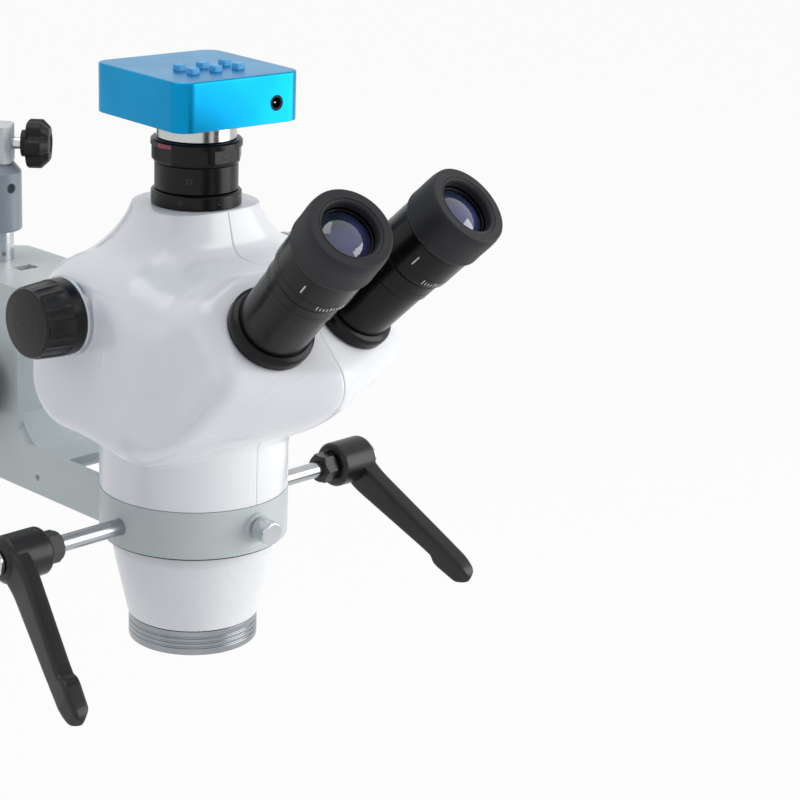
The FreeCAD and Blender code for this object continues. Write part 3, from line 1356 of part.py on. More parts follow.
# Star knob and its threaded stud
stud = lathe("star_stud", [
    ("0", "knuckle_half - 9.5"),
    ("stud_r", "knuckle_half - 9.5"),
    ("stud_r", "star_end - 4"),
    ("0", "star_end - 4"),
])
put(stud, z="boom_z", axis=TO_PLUS_X[0], angle=TO_PLUS_X[1])
stud_solid = fuse("stud_solid", [stud, rod("stud_collar", "stud_r - 0.2", "1", x="knuckle_half", z="boom_z",
                                          axis=TO_PLUS_X[0], angle=TO_PLUS_X[1])])
at_knuckle(stud_solid, "star_knob_stud")
star = new_body("star_body")
turn(star, [
    ("stud_r + run_gap", "stud_end"),
    ("star_hub_r", "stud_end"),
    ("star_hub_r", "star_hub_end"),
    ("star_r - 1", "star_hub_end"),
    ("star_r", "star_hub_end + 1"),
    ("star_r", "star_end - 4"),
    ("star_r - 4", "star_end"),
    ("0", "star_end"),
    ("0", "star_end - 3.7"),
    ("stud_r + run_gap", "star_end - 3.7"),
])
bite = pocket(star, "XY_Plane", [
    ("star_r - 2.6", "-1"),
    ("star_r + 1", "-3"),
    ("star_r + 1", "3"),
    ("star_r - 2.6", "1"),
], "star_end - star_hub_end", "star_hub_end", reverse=True)
around(star, bite, "star_lobes")
star.Placement = FreeCAD.Placement(FreeCAD.Vector(0, 0, SIZES["boom_z"]),
                                   FreeCAD.Rotation(FreeCAD.Vector(0, 1, 0), 90))
at_knuckle(star, "star_knob")

doc.recompute()
faults = [item.Name for item in doc.Objects if "Invalid" in item.State or "Error" in item.State]
faults += [item.Label for item in PARTS if item.Shape.isNull() or not item.Shape.isValid()]
if faults:
    raise SystemExit("not built: " + ", ".join(faults))

os.makedirs("parts", exist_ok=True)
for item in PARTS:
    item.Shape.exportStep("parts/%s.step" % item.Label)
print(len(PARTS), "parts written")
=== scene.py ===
"""Trinocular stereo microscope head on its focusing arm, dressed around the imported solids.

Shapes are written in millimetres and made metres when a mesh is filled. The file follows the microscope as
it is put together: the boom end, the drop pin and arm, the handles, the head, the camera port and the eyes.
"""
import bmesh
import bpy
import numpy as np
from mathutils import Matrix


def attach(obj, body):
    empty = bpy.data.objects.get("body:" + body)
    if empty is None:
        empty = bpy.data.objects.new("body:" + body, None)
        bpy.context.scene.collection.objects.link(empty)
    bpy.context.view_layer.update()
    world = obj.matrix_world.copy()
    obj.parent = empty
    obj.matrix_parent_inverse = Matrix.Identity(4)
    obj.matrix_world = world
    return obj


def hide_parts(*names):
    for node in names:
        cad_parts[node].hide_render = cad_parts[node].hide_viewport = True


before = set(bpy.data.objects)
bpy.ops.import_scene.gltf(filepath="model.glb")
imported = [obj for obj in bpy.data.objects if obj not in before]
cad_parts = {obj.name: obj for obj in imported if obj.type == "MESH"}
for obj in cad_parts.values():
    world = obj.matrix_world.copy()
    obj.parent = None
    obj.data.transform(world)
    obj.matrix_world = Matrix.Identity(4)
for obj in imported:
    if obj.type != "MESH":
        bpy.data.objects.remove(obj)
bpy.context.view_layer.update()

# ---------------------------------------------------------------------------------------------------------
# The photographer's place and the studio: a long lens from the operator's left, a white sweep below and
# behind, one large soft lamp beyond the right shoulder, weaker ones above and to the left.

# The columns of EYE_AXES are the camera's right, up and back; EYE_PLACE is in metres.
EYE_AXES = np.array([[0.70734666, 0.19303124, -0.67999974], [-0.7060298, 0.23973489, -0.6663701],
                     [0.03438942, 0.95145474, 0.30586148]])
EYE_PLACE = (-0.67819608, -0.79712829, 0.45315811)
FILM_WIDTH, LENS_LENGTH, NEAREST, FURTHEST = 36.0, 106.977, 0.02, 60.0
lens = bpy.data.cameras.new("viewer")
lens.sensor_width, lens.lens, lens.clip_start, lens.clip_end = FILM_WIDTH, LENS_LENGTH, NEAREST, FURTHEST
viewer = bpy.data.objects.new("viewer", lens)
turn = Matrix([list(row) for row in EYE_AXES])
viewer.matrix_world = Matrix.Translation(EYE_PLACE) @ turn.to_4x4()
bpy.context.scene.collection.objects.link(viewer)
bpy.context.scene.camera = viewer
bpy.context.scene.view_settings.view_transform = "Standard"


def colour(text):
    """A hex colour as linear light: the lower part of the sRGB curve is a line, the rest a 2.4 power."""
    share = np.array([int(text[i:i + 2], 16) for i in (1, 3, 5)]) / 255
    light = np.where(share <= 0.04045, share / 12.92, ((share + 0.055) / 1.055) ** 2.4)
    return (*light.tolist(), 1.0)


def add(tree, kind, sockets=None, **settings):
    """A node in a tree. Each socket gets a value, or a link from the output socket that it is given."""
    node = tree.nodes.new("ShaderNode" + kind)
    for name, value in settings.items():
        setattr(node, name, value)
    for name, value in (sockets or {}).items():
        if isinstance(value, bpy.types.NodeSocket):
            tree.links.new(value, node.inputs[name])
        else:
            node.inputs[name].default_value = value
    return node


def lamp(name, place, aim, size, power, tint):
    """A square soft lamp that stands at a place in metres and faces a point."""
    light = bpy.data.lights.new(name, "AREA")
    light.shape, light.size, light.size_y = "RECTANGLE", size[0], size[1]
    light.energy, light.color = power, colour(tint)[:3]
    away = np.subtract(place, aim)
    away = away / np.linalg.norm(away)
    side = np.cross((0, 0, 1), away)
    side = side / np.linalg.norm(side)
    holder = bpy.data.objects.new(name, light)
    axes = np.stack([side, np.cross(away, side), away], 1)
    holder.matrix_world = Matrix.Translation(place) @ Matrix(axes.tolist()).to_4x4()
    bpy.context.scene.collection.objects.link(holder)


lamp("operator_side_lamp", (1.1, -1.15, 0.34), (0, -0.02, 0.14), (1.2, 1.3), 17.0, "#FFFDFA")
lamp("left_lamp", (-1.45, 0.1, 0.7), (0, 0, 0.14), (0.7, 0.9), 1.0, "#F4F8FF")
lamp("top_lamp", (-0.1, 0.1, 1.45), (0, 0, 0.14), (0.9, 0.9), 4.5, "#FFFFFF")

# The room: dim and even to the object, white where the camera or a polished surface looks at it.
ROOM_LIGHT = 0.52
sky = bpy.data.worlds.new("studio")
bpy.context.scene.world = sky
sky.use_nodes = True
sky.node_tree.nodes.clear()
path = add(sky.node_tree, "LightPath")
seen = add(sky.node_tree, "Math", {0: path.outputs["Is Camera Ray"], 1: path.outputs["Is Glossy Ray"]},
           operation="MAXIMUM")
seen = add(sky.node_tree, "Math", {0: seen.outputs[0], 1: path.outputs["Is Transmission Ray"]},
           operation="MAXIMUM")
dim = add(sky.node_tree, "Background", {"Color": colour("#F3F6FB"), "Strength": ROOM_LIGHT})
white = add(sky.node_tree, "Background", {"Color": colour("#FFFFFF"), "Strength": 1.0})
mixed = add(sky.node_tree, "MixShader", {0: seen.outputs[0], 1: dim.outputs[0], 2: white.outputs[0]})
add(sky.node_tree, "OutputWorld", {"Surface": mixed.outputs[0]})

# The sweep: white paper far below the object. It shows as near white and keeps a share of the shadow.
FLOOR_LEVEL, FLOOR_HALF, FLOOR_LINES, PAPER_GLOW = -0.22, 14, 9, 0.93
sweep_material = bpy.data.materials.new("white_paper_sweep")
sweep_material.use_nodes = True
paper = sweep_material.node_tree
paper.nodes.clear()
path = add(paper, "LightPath")
seen = add(paper, "Math", {0: path.outputs["Is Camera Ray"], 1: path.outputs["Is Glossy Ray"]},
           operation="MAXIMUM")
matt = add(paper, "BsdfDiffuse", {"Color": colour("#F4F4F4")})
glow = add(paper, "Emission", {"Color": colour("#FFFFFF"), "Strength": 1.0})
share = add(paper, "Math", {0: seen.outputs[0], 1: PAPER_GLOW}, operation="MULTIPLY")
mixed = add(paper, "MixShader", {0: share.outputs[0], 1: matt.outputs[0], 2: glow.outputs[0]})
add(paper, "OutputMaterial", {"Surface": mixed.outputs[0]})
sweep_mesh = bpy.data.meshes.new("floor")
reach = np.linspace(-FLOOR_HALF, FLOOR_HALF, FLOOR_LINES)
spread_x, spread_y = np.meshgrid(reach, reach, indexing="ij")
spots = np.stack([spread_x, spread_y, np.full_like(spread_x, FLOOR_LEVEL)], -1).reshape(-1, 3)
first = (np.arange(FLOOR_LINES - 1)[:, None] * FLOOR_LINES + np.arange(FLOOR_LINES - 1)).reshape(-1, 1)
square = first + np.array([0, FLOOR_LINES, FLOOR_LINES + 1, 1])
sweep_mesh.from_pydata(spots.tolist(), [], square.tolist())
sweep_mesh.materials.append(sweep_material)
sweep = bpy.data.objects.new("floor", sweep_mesh)
bpy.context.scene.collection.objects.link(sweep)

# ---------------------------------------------------------------------------------------------------------
# Boom knuckle: a light alloy block, die cast, blasted and lacquered, over the socket of the drop pin.
# Socket: a grey turned sleeve with one set screw. Both are clamped, so they carry all the rest.
EDGE_BEVEL = 0.00035
SMOOTH_UP_TO, CUT_SMOOTH_UP_TO = np.radians(40), np.radians(35)


def finish(name, tones, rough, grain, relief, drift=30.0, metal=0.0, edge=None, lines=None, **sockets):
    """A material of the principled kind. Broad noise of drift mm mixes the two tones and moves the roughness
    between its two ends, and noise of grain mm lifts the surface by relief mm. edge, for a solid with
    sharp edges: a bevel of 0.35 mm rounds their light, and this third tone is a painted highlight, lighter
    where the surface bends along the edges.
    lines: turning marks at this spacing in mm, across the length of a turned piece's own map."""
    material = bpy.data.materials.new(name)
    material.use_nodes = True
    tree = material.node_tree
    tree.nodes.clear()
    spot = add(tree, "TexCoord")
    broad = add(tree, "TexNoise", {"Vector": spot.outputs["Object"], "Scale": 1000 / drift, "Detail": 3.0})
    fine = add(tree, "TexNoise", {"Vector": spot.outputs["Object"], "Scale": 1000 / grain, "Detail": 2.0})
    ramp = add(tree, "MapRange", {"Value": broad.outputs[0], "From Min": 0.35, "From Max": 0.65})
    body = add(tree, "Mix", {0: ramp.outputs[0], 6: colour(tones[0]), 7: colour(tones[1])}, data_type="RGBA")
    height = fine.outputs[0]
    if lines:
        strip = add(tree, "SeparateXYZ", {0: spot.outputs["UV"]})
        wave = add(tree, "Math", {0: strip.outputs[1], 1: 1000 * 2 * np.pi / lines}, operation="MULTIPLY")
        wave = add(tree, "Math", {0: wave.outputs[0]}, operation="SINE")
        height = add(tree, "Math", {0: wave.outputs[0], 1: 0.35, 2: height}, operation="MULTIPLY_ADD").outputs[0]
    gloss = add(tree, "MapRange", {"Value": height if lines else broad.outputs[0], "From Min": 0.25,
                                   "From Max": 0.75, "To Min": rough[0], "To Max": rough[1]})
    bump = add(tree, "Bump", {"Height": height, "Distance": relief / 1000, "Strength": 1.0})
    tone = body.outputs[2]
    if edge:
        bend = add(tree, "Bevel", {"Radius": EDGE_BEVEL}, samples=8)
        tree.links.new(bend.outputs[0], bump.inputs["Normal"])
        flat = add(tree, "NewGeometry")
        turn_of = add(tree, "VectorMath", {0: bend.outputs[0], 1: flat.outputs["Normal"]},
                      operation="DOT_PRODUCT")
        # Painted highlight: up to 0.6 of the lighter edge tone where the bevel's normal turns away from the flat one.
        edge_highlight = add(tree, "MapRange", {"Value": turn_of.outputs["Value"], "From Min": 0.985, "From Max": 0.90,
                                      "To Min": 0.0, "To Max": 0.6})
        tone = add(tree, "Mix", {0: edge_highlight.outputs[0], 6: tone, 7: colour(edge)}, data_type="RGBA").outputs[2]
    surface = add(tree, "BsdfPrincipled", {"Base Color": tone, "Roughness": gloss.outputs[0],
                                           "Normal": bump.outputs[0], "Metallic": metal, **sockets})
    add(tree, "OutputMaterial", {"Surface": surface.outputs[0]})
    return material


def dress(material, *nodes):
    """The solids with these names keep their shape and get the material."""
    for name in nodes:
        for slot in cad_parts[name].material_slots:
            slot.material = material


def softened(outline, bend, closed):
    """A profile with its corners bent: each gives way to five points on the curve from cut to cut whose
    control point is the corner, with one more point on each side to keep the flanks flat."""
    line = np.array(outline, float)
    before, after = np.roll(line, 1, 0) - line, np.roll(line, -1, 0) - line
    back = np.linalg.norm(before, axis=1, keepdims=True)
    on = np.linalg.norm(after, axis=1, keepdims=True)
    cut = np.minimum(bend, 0.4 * np.minimum(back, on))
    share = np.linspace(0, 1, 5)[:, None, None]
    start, end = line + before / back * cut, line + after / on * cut
    arc = (1 - share) ** 2 * start + 2 * share * (1 - share) * line + share ** 2 * end
    ahead, behind = line + before / back * cut * 1.2, line + after / on * cut * 1.2
    every = np.concatenate([ahead[None], arc, behind[None]]).transpose(1, 0, 2)
    if closed:
        every = every.reshape(-1, 2)
        return np.concatenate([every, every[:1]])
    return np.concatenate([line[:1], every[1:-1].reshape(-1, 2), line[-1:]])


def turned(outline, bend=0.4, closed=True, steps=96, shape=None):
    """A profile of radius and height carried round the axis: x = r cos a, y = r sin a, z = h. A shape
    function may give another radius for each radius, height and angle, for flats, ribs and lobes."""
    profile = softened(outline, bend, closed)
    angle = np.linspace(0, 2 * np.pi, steps + 1)[None, :]
    radius = np.repeat(profile[:, :1], steps + 1, 1)
    height = np.repeat(profile[:, 1:], steps + 1, 1)
    if shape:
        radius = shape(radius, height, angle)
    return np.stack([radius * np.cos(angle), radius * np.sin(angle), height], -1)


def placed(grid, base, axes=((1, 0, 0), (0, 1, 0), (0, 0, 1))):
    """A grid moved from its own frame to the microscope's: base plus the sum of each axis times its share."""
    return grid @ np.array(axes, float) + np.array(base, float)


def filled(name, grids, material):
    """A mesh object of one or more grids of points, rows by columns, in millimetres. Neighbours join into
    quads, points that coincide become one, faces turn outward. The piece's own map runs along the columns
    and rows in metres."""
    spots, quads, maps, start = [], [], [], 0
    for grid in grids:
        rows, columns = grid.shape[:2]
        index = start + np.arange(rows * columns).reshape(rows, columns)
        quads.append(np.stack([index[:-1, :-1], index[:-1, 1:], index[1:, 1:], index[1:, :-1]], -1).reshape(-1, 4))
        across = np.linalg.norm(np.diff(grid, axis=1), axis=2).sum(1).max()
        down = np.concatenate([[0], np.cumsum(np.linalg.norm(np.diff(grid, axis=0), axis=2).max(1))])
        maps.append(np.stack(np.meshgrid(np.linspace(0, across, columns), down), -1).reshape(-1, 2))
        spots.append(grid.reshape(-1, 3))
        start += rows * columns
    quads = np.concatenate(quads)
    mesh = bpy.data.meshes.new(name)
    mesh.from_pydata((np.concatenate(spots) * 0.001).tolist(), [], quads.tolist())
    own_map = mesh.uv_layers.new(name="surface")
    own_map.data.foreach_set("uv", (np.concatenate(maps)[quads.reshape(-1)] * 0.001).astype(np.float32).ravel())
    work = bmesh.new()
    work.from_mesh(mesh)
    bmesh.ops.remove_doubles(work, verts=work.verts, dist=1e-6)
    bmesh.ops.dissolve_degenerate(work, edges=work.edges, dist=1e-7)
    bmesh.ops.recalc_face_normals(work, faces=work.faces)
    work.to_mesh(mesh)
    work.free()
    mesh.shade_smooth()
    mesh.set_sharp_from_angle(angle=SMOOTH_UP_TO)
    mesh.materials.append(material)
    piece = bpy.data.objects.new(name, mesh)
    bpy.context.scene.collection.objects.link(piece)
    return piece


def fit(piece, body, slot, *nodes):
    """The piece moves with a body and stands for the named solids, which are hidden. The slot is not used."""
    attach(piece, body)
    if nodes:
        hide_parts(*nodes)
    return piece


def carved(piece, grids):
    """The piece with closed grids of points cut out of it."""
    tool = filled("cutter", grids, piece.data.materials[0])
    cut = piece.modifiers.new("cut", "BOOLEAN")
    cut.object, cut.operation, cut.solver = tool, "DIFFERENCE", "EXACT"
    bpy.context.view_layer.update()
    result = bpy.data.meshes.new_from_object(piece.evaluated_get(bpy.context.evaluated_depsgraph_get()))
    piece.modifiers.clear()
    piece.data = result
    bpy.data.objects.remove(tool)
    result.set_sharp_from_angle(angle=CUT_SMOOTH_UP_TO)
    return piece


def boss(radius, low, high, base, axis, steps=48):
    """A plain round bar between two distances along an axis, closed at both ends, as a cutter or a pin."""
    axis = np.array(axis, float) / np.linalg.norm(axis)
    side = np.cross(axis, (0.3, 0.5, 0.8))
    side = side / np.linalg.norm(side)
    grid = turned([(0, low), (radius, low), (radius, high), (0, high)], 0.01, False, steps)
    return placed(grid, base, (side, np.cross(axis, side), axis))


# Blasted casting under clear lacquer: a fine dull grain, with a painted highlight that makes its edges paler.
blasted_casting = finish("blasted_lacquered_alloy", ("#D3D8DA", "#C9D0D2"), (0.34, 0.46), 0.8, 0.012,
                         edge="#E4E8EA")
dress(blasted_casting, "boom_knuckle")

PIN_Y = 151.5
# Stoved enamel: a smooth blue-grey coat with a broad soft sheen.
socket_grey = finish("grey_stoved_enamel", ("#8E98A2", "#858F99"), (0.30, 0.40), 0.9, 0.008)
socket = filled("socket_sleeve", [turned([(8.1, 166.4), (11.6, 166.4), (12.2, 167.0), (12.2, 195.6), (8.2, 200.6),
                                          (8.1, 200.55)], 0.4)
                                  + np.array([0, PIN_Y, 0])], socket_grey)
carved(socket, [boss(2.5, 8.5, 16.0, (0, PIN_Y, 188.6), (0, -1, 0))])
fit(socket, "boom_clamp", "grey_socket", "pin_socket")

# Star knob: black phenolic moulding with six lobes on a steel stud. It locks the knuckle to the boom.
# The lobes are full at the finger side and the skirt under them is round. The moulding is dull, the stud
# ground bright.
dull_moulding = finish("black_phenolic_moulding", ("#0F0F11", "#141416"), (0.38, 0.50), 0.7, 0.003,
                       **{"Specular IOR Level": 0.25})
bright_steel = finish("ground_bright_steel", ("#B9BDC1", "#CACDD0"), (0.16, 0.24), 1.2, 0.002, metal=1.0)
LEVEL_TURN = np.radians(-45)
KNUCKLE_Z = 209.7
knuckle_axis = (np.cos(LEVEL_TURN), np.sin(LEVEL_TURN), 0)
knuckle_side = (-np.sin(LEVEL_TURN), np.cos(LEVEL_TURN), 0)


def lobes(radius, height, angle):
    """Six waves cut into the rim: the deeper they go, the further out the point stands."""
    depth = 0.5 - 0.5 * np.cos(6 * angle + np.pi)
    full = np.clip((radius - 6.8) / 4.5, 0, 1) * np.clip((height - 15.4) / 0.8, 0, 1)
    return radius - 2.5 * depth ** 2.2 * full


star = turned([(0, 12.6), (6.6, 12.6), (6.6, 15.5), (11.3, 15.5), (12.3, 16.6), (12.3, 22.8), (8.6, 26.6), (4.8, 27),
               (4.4, 26.2), (0, 26.2)], 0.7, False, 144, lobes)
fit(filled("star_knob_body", [placed(star, (0, PIN_Y, KNUCKLE_Z), ((0, 0, 1), knuckle_side, knuckle_axis))],
           dull_moulding), "star_knob", "black_plastic", "star_knob")
dress(bright_steel, "star_knob_stud")

# ---------------------------------------------------------------------------------------------------------
# Drop pin: a 16 mm bar of ground and polished steel with a groove for the set screw, ends chamfered.
# Polished bar stock mirrors its surroundings, with faint turning lines round it.
pin = turned([(0, 90), (8, 90), (8, 184.6), (7, 185.6), (7, 191.6), (8, 192.6), (8, 198), (7, 199), (0, 199)], 0.25,
             False)
polished_steel = finish("polished_steel_bar", ("#C3C6CA", "#D0D3D6"), (0.10, 0.17), 2.0, 0.0015, metal=1.0,
                        lines=0.6)
fit(filled("drop_pin", [pin + np.array([0, PIN_Y, 0])], polished_steel), "focus_slide", "bright_steel", "post_pin")

# ---------------------------------------------------------------------------------------------------------
# Arm and slide: cast light alloy in a satin stone-grey lacquer with a fine orange-peel, the dovetail and the
# rack milled bright. The arm keeps its solid's shape; its edges are rounded in the light and made lighter by a painted
# highlight.
arm_lacquer = finish("satin_stone_lacquer_on_casting", ("#C9D1D1", "#C2CBCB"), (0.34, 0.46), 1.1, 0.006,
                     drift=45.0, edge="#DDE3E3")
milled_steel = finish("milled_rack_steel", ("#8D9093", "#9EA1A4"), (0.28, 0.40), 0.5, 0.004, metal=1.0)
dress(arm_lacquer, "arm_casting", "slide_block")
dress(milled_steel, "focus_rack", "pinion_shaft")

# Focus knobs: black moulded wheels on the pinion shaft, sixteen finger flutes round a plain rim.
FOCUS_Y, FOCUS_Z = 117.5, 100.0


def facing(side):
    """Axes of a turned piece whose length runs out to the left, -1, or to the right, 1."""
    return (0, 0, 1), (0, 1, 0), (side, 0, 0)


def flutes(radius, height, angle):
    """Sixteen round-bottomed grooves, 0.8 mm deep, between the two rims of the wheel."""
    groove = np.clip(np.cos(16 * angle) * 2.2 - 1.2, 0, 1) ** 0.7
    band = np.clip((height - 38.5) / 1.5, 0, 1) * np.clip((53.5 - height) / 1.5, 0, 1)
    return radius - 0.8 * groove * band * (radius > 15)


for side, word in ((-1, "left"), (1, "right")):
    wheel = turned([(4.1, 33.6), (12, 33.6), (12, 36.5), (16, 36.5), (17, 37.5), (17, 40), (17, 45), (17, 52),
                    (17, 54.5), (15.2, 56), (7, 56), (6, 55.2), (0, 55.2), (0, 50.5), (4.1, 50.5)], 0.5, True, 192,
                   flutes)
    fit(filled("focus_wheel_" + word, [placed(wheel, (0, FOCUS_Y, FOCUS_Z), facing(side))],
               dull_moulding), "focus_knobs", "black_plastic", "focus_knob_" + word)

# Head lock screw: a plain turned thumb screw of bright steel through the clamp ring's front.
TO_OPERATOR = ((1, 0, 0), (0, 0, 1), (0, -1, 0))
thumb = turned([(0, 38.4), (3, 38.4), (3, 46.2), (5, 46.2), (5.6, 46.8), (5.6, 54.8), (4.8, 55.6), (0, 55.6)], 0.35,
               False)
fit(filled("lock_thumb_screw", [placed(thumb, (0, 0, 65), TO_OPERATOR)], polished_steel),
    "head_lock_screw", "bright_steel", "head_lock_screw")

# ---------------------------------------------------------------------------------------------------------
# Handles: a chromed rod screwed into the clamp ring, a hexagon lock nut, a black moulded lever that turns on
# the rod's end, and a socket cap screw. The lever widens to a finger lip and is thicker at its hub.
# Chrome mirrors sharply; the nut is oil-black with a soft gleam; the moulding has a satin skin.
chrome = finish("hard_chrome_plate", ("#A9ACB0", "#B6B9BC"), (0.16, 0.24), 2.0, 0.001, metal=1.0)
black_oxide = finish("blackened_steel_nut", ("#151517", "#1C1C1F"), (0.24, 0.34), 0.8, 0.001,
                     **{"Specular IOR Level": 0.35})
lever_moulding = finish("black_satin_lever_moulding", ("#121213", "#171718"), (0.26, 0.36), 0.8, 0.003,
                        **{"Specular IOR Level": 0.35})
black_screw = finish("blackened_set_screw", ("#1A1A1C", "#232326"), (0.26, 0.38), 0.6, 0.001, metal=0.3)
HANDLE_Z = 63.0
NUT, NUT_CORNER, ROD_BORE, RECESS_CORNER = (79.5, 87.6), 7.6, 3.98, 2.6
HUB, HUB_BOTTOM = (87.9, 111.4), 107.2
CAP_LOW = 111.7
LEVER_SIDES, TIP_FROM, TIP_LONG = 73, 79, 5


def hexagon(across, angle):
    """Radius of a hexagon of a given corner radius at an angle."""
    return across * np.cos(np.pi / 6) / np.cos((angle + np.pi / 6) % (np.pi / 3) - np.pi / 6)


def nut_shape(radius, height, angle):
    """The lesser of the hexagon and the turned cone that breaks its corners, outside the bore."""
    low, high = np.clip(1 - (height - NUT[0]) / 1.2, 0, 1), np.clip(1 - (NUT[1] - height) / 1.2, 0, 1)
    cone = NUT_CORNER - 1.1 * low - 1.1 * high
    return np.where(radius > 5, radius / NUT_CORNER * np.minimum(hexagon(NUT_CORNER, angle), cone), radius)


def socket_shape(radius, height, angle):
    """A hexagon for the points of the recess, which are the ones nearer than 2.9 mm."""
    return np.where((radius < 2.9) & (radius > 0.05), radius / RECESS_CORNER * hexagon(RECESS_CORNER, angle), radius)


def lever_arm(hub_out):
    """The arm of the lever, lofted along its length: each cross-section is a rounded oblong whose sides
    follow the lever's two outlines, and the last 5 mm close like the end of an ellipse. The oblong is a
    superellipse: the sum of the 6.5th powers of its two shares is one."""
    ending = TIP_FROM + TIP_LONG * np.sin(np.linspace(0.05, 1, 14) * np.pi / 2)
    along = np.concatenate([np.linspace(0, 60, 31), np.linspace(61, TIP_FROM, 31), ending])
    under = np.interp(along, [0, 76, 84], [-5.4, -5.4, -3.6])
    over = np.interp(along, [0, 10, 60, 62.5, 65, 68, 78, 84], [10.2, 10.2, 4.7, 4.7, 6.7, 7.0, 5.6, 4.0])
    low = np.interp(along, [0, 11, 80, 84], [hub_out - 10.5, hub_out - 10.5, hub_out + 1.0, hub_out + 3.4])
    high = np.interp(along, [0, 15, 72, 82, 84], [hub_out - 1, hub_out - 1, hub_out + 9, hub_out + 9, hub_out + 7])
    smooth = np.array([1, 2, 3, 2, 1]) / 9
    under, over, low, high = [np.convolve(np.pad(line, 2, "edge"), smooth, "valid") for line in
                              (under, over, low, high)]
    tip = np.sqrt(np.clip(1 - (np.clip(along - TIP_FROM, 0, TIP_LONG) / TIP_LONG) ** 2, 0, 1))
    angle = np.linspace(0, 2 * np.pi, LEVER_SIDES)
    bulge = 2 / 6.5
    wide = np.sign(np.cos(angle)) * np.abs(np.cos(angle)) ** bulge
    thick = np.sign(np.sin(angle)) * np.abs(np.sin(angle)) ** bulge
    y = ((over + under) / 2)[:, None] + ((over - under) / 2 * tip)[:, None] * wide
    z = ((high + low) / 2)[:, None] + ((high - low) / 2 * tip)[:, None] * thick
    grid = np.stack([np.repeat(along[:, None], LEVER_SIDES, 1), y, z], -1)
    root = grid[:1].mean(1, keepdims=True).repeat(LEVER_SIDES, 1)
    return np.concatenate([root, grid])


for side, word, drop in ((-1, "left", 38.5), (1, "right", 33.8)):
    out = facing(side)
    bar = turned([(0, 38.4), (3.9, 38.4), (3.9, 106.9), (0, 106.9)], 0.5, False)
    fit(filled("chromed_rod_" + word, [placed(bar, (0, 0, HANDLE_Z), out)], chrome), "focus_arm", "chrome",
        "handle_rod_" + word)
    nut = turned([(ROD_BORE, NUT[0]), (NUT_CORNER, NUT[0]), (NUT_CORNER, NUT[0] + 1.2), (NUT_CORNER, NUT[1] - 1.2),
                  (NUT_CORNER, NUT[1]), (ROD_BORE, NUT[1])], 0.25, True, 144, nut_shape)
    fit(filled("lock_nut_" + word, [placed(nut, (0, 0, HANDLE_Z), out)], black_oxide), "handle_" + word,
        "black_anodised", "hex_nut_" + word)
    fall = np.radians(drop)
    reach = np.array([0, -np.cos(fall), -np.sin(fall)])
    lever_axes = (reach, np.cross((side, 0, 0), reach), (side, 0, 0))
    hub = turned([(ROD_BORE, HUB[0]), (9.5, HUB[0]), (11, HUB[0] + 1.5), (11, HUB[1] - 3), (8, HUB[1]), (0, HUB[1]),
                  (0, HUB_BOTTOM), (ROD_BORE, HUB_BOTTOM)], 1.2)
    fit(filled("lever_" + word, [placed(hub, (0, 0, HANDLE_Z), lever_axes),
                                 placed(lever_arm(HUB[1]), (0, 0, HANDLE_Z), lever_axes)], lever_moulding),
        "handle_" + word, "black_plastic", "lever_handle_" + word)
    screw = turned([(0, CAP_LOW), (6, CAP_LOW), (6, CAP_LOW + 2.2), (4.8, CAP_LOW + 3.2),
                    (RECESS_CORNER, CAP_LOW + 3.4), (RECESS_CORNER, CAP_LOW + 1), (0, CAP_LOW + 1)], 0.5, False, 144,
                   socket_shape)
    fit(filled("socket_cap_screw_" + word, [placed(screw, (0, 0, HANDLE_Z), out)], bright_steel), "handle_" + word,
        "bright_steel", "cap_screw_" + word)

# ---------------------------------------------------------------------------------------------------------
# Housing: two white gloss mouldings that meet on the mid-plane with a fine open seam. The skin is where rays
# from a point inside cross four rounded forms blended together: the pod with the zoom knobs, the inclined
# bulge under the eyetubes, the crown between them and the neck of the camera port, with a round tail below.
LEAN, SPREAD = np.radians(44.5), np.radians(7.1)
EYE_X, EYE_Y, EYE_Z = 23.7, -76.1, 169.5
SEAT_REACH = -EYE_Y * np.cos(LEAN) + EYE_Z * np.sin(LEAN)
HOUSING_LOW, HOUSING_TOP, PORT_BORE, WALL, HEM_BORE = 75.7, 208.27, 15.5, 4.0, 39.2
INSIDE = np.array([0, -12.0, 150.0])
LONGEST_RAY, HALVINGS = 150.0, 30


def both(first, second, bend):
    """Distance to what two forms share, with an edge of radius bend where they meet."""
    one, two = first + bend, second + bend
    return np.hypot(np.maximum(one, 0), np.maximum(two, 0)) + np.minimum(np.maximum(one, two), 0) - bend


def merged(first, second, blend):
    """Distance to two forms with a soft fillet: the lesser, less a quarter of the blend where they are equal."""
    near = np.maximum(blend - np.abs(first - second), 0) / blend
    return np.minimum(first, second) - near * near * blend / 4


def ease(part):
    """A soft step: three times the square less twice the cube."""
    part = np.clip(part, 0, 1)
    return part * part * (3 - 2 * part)


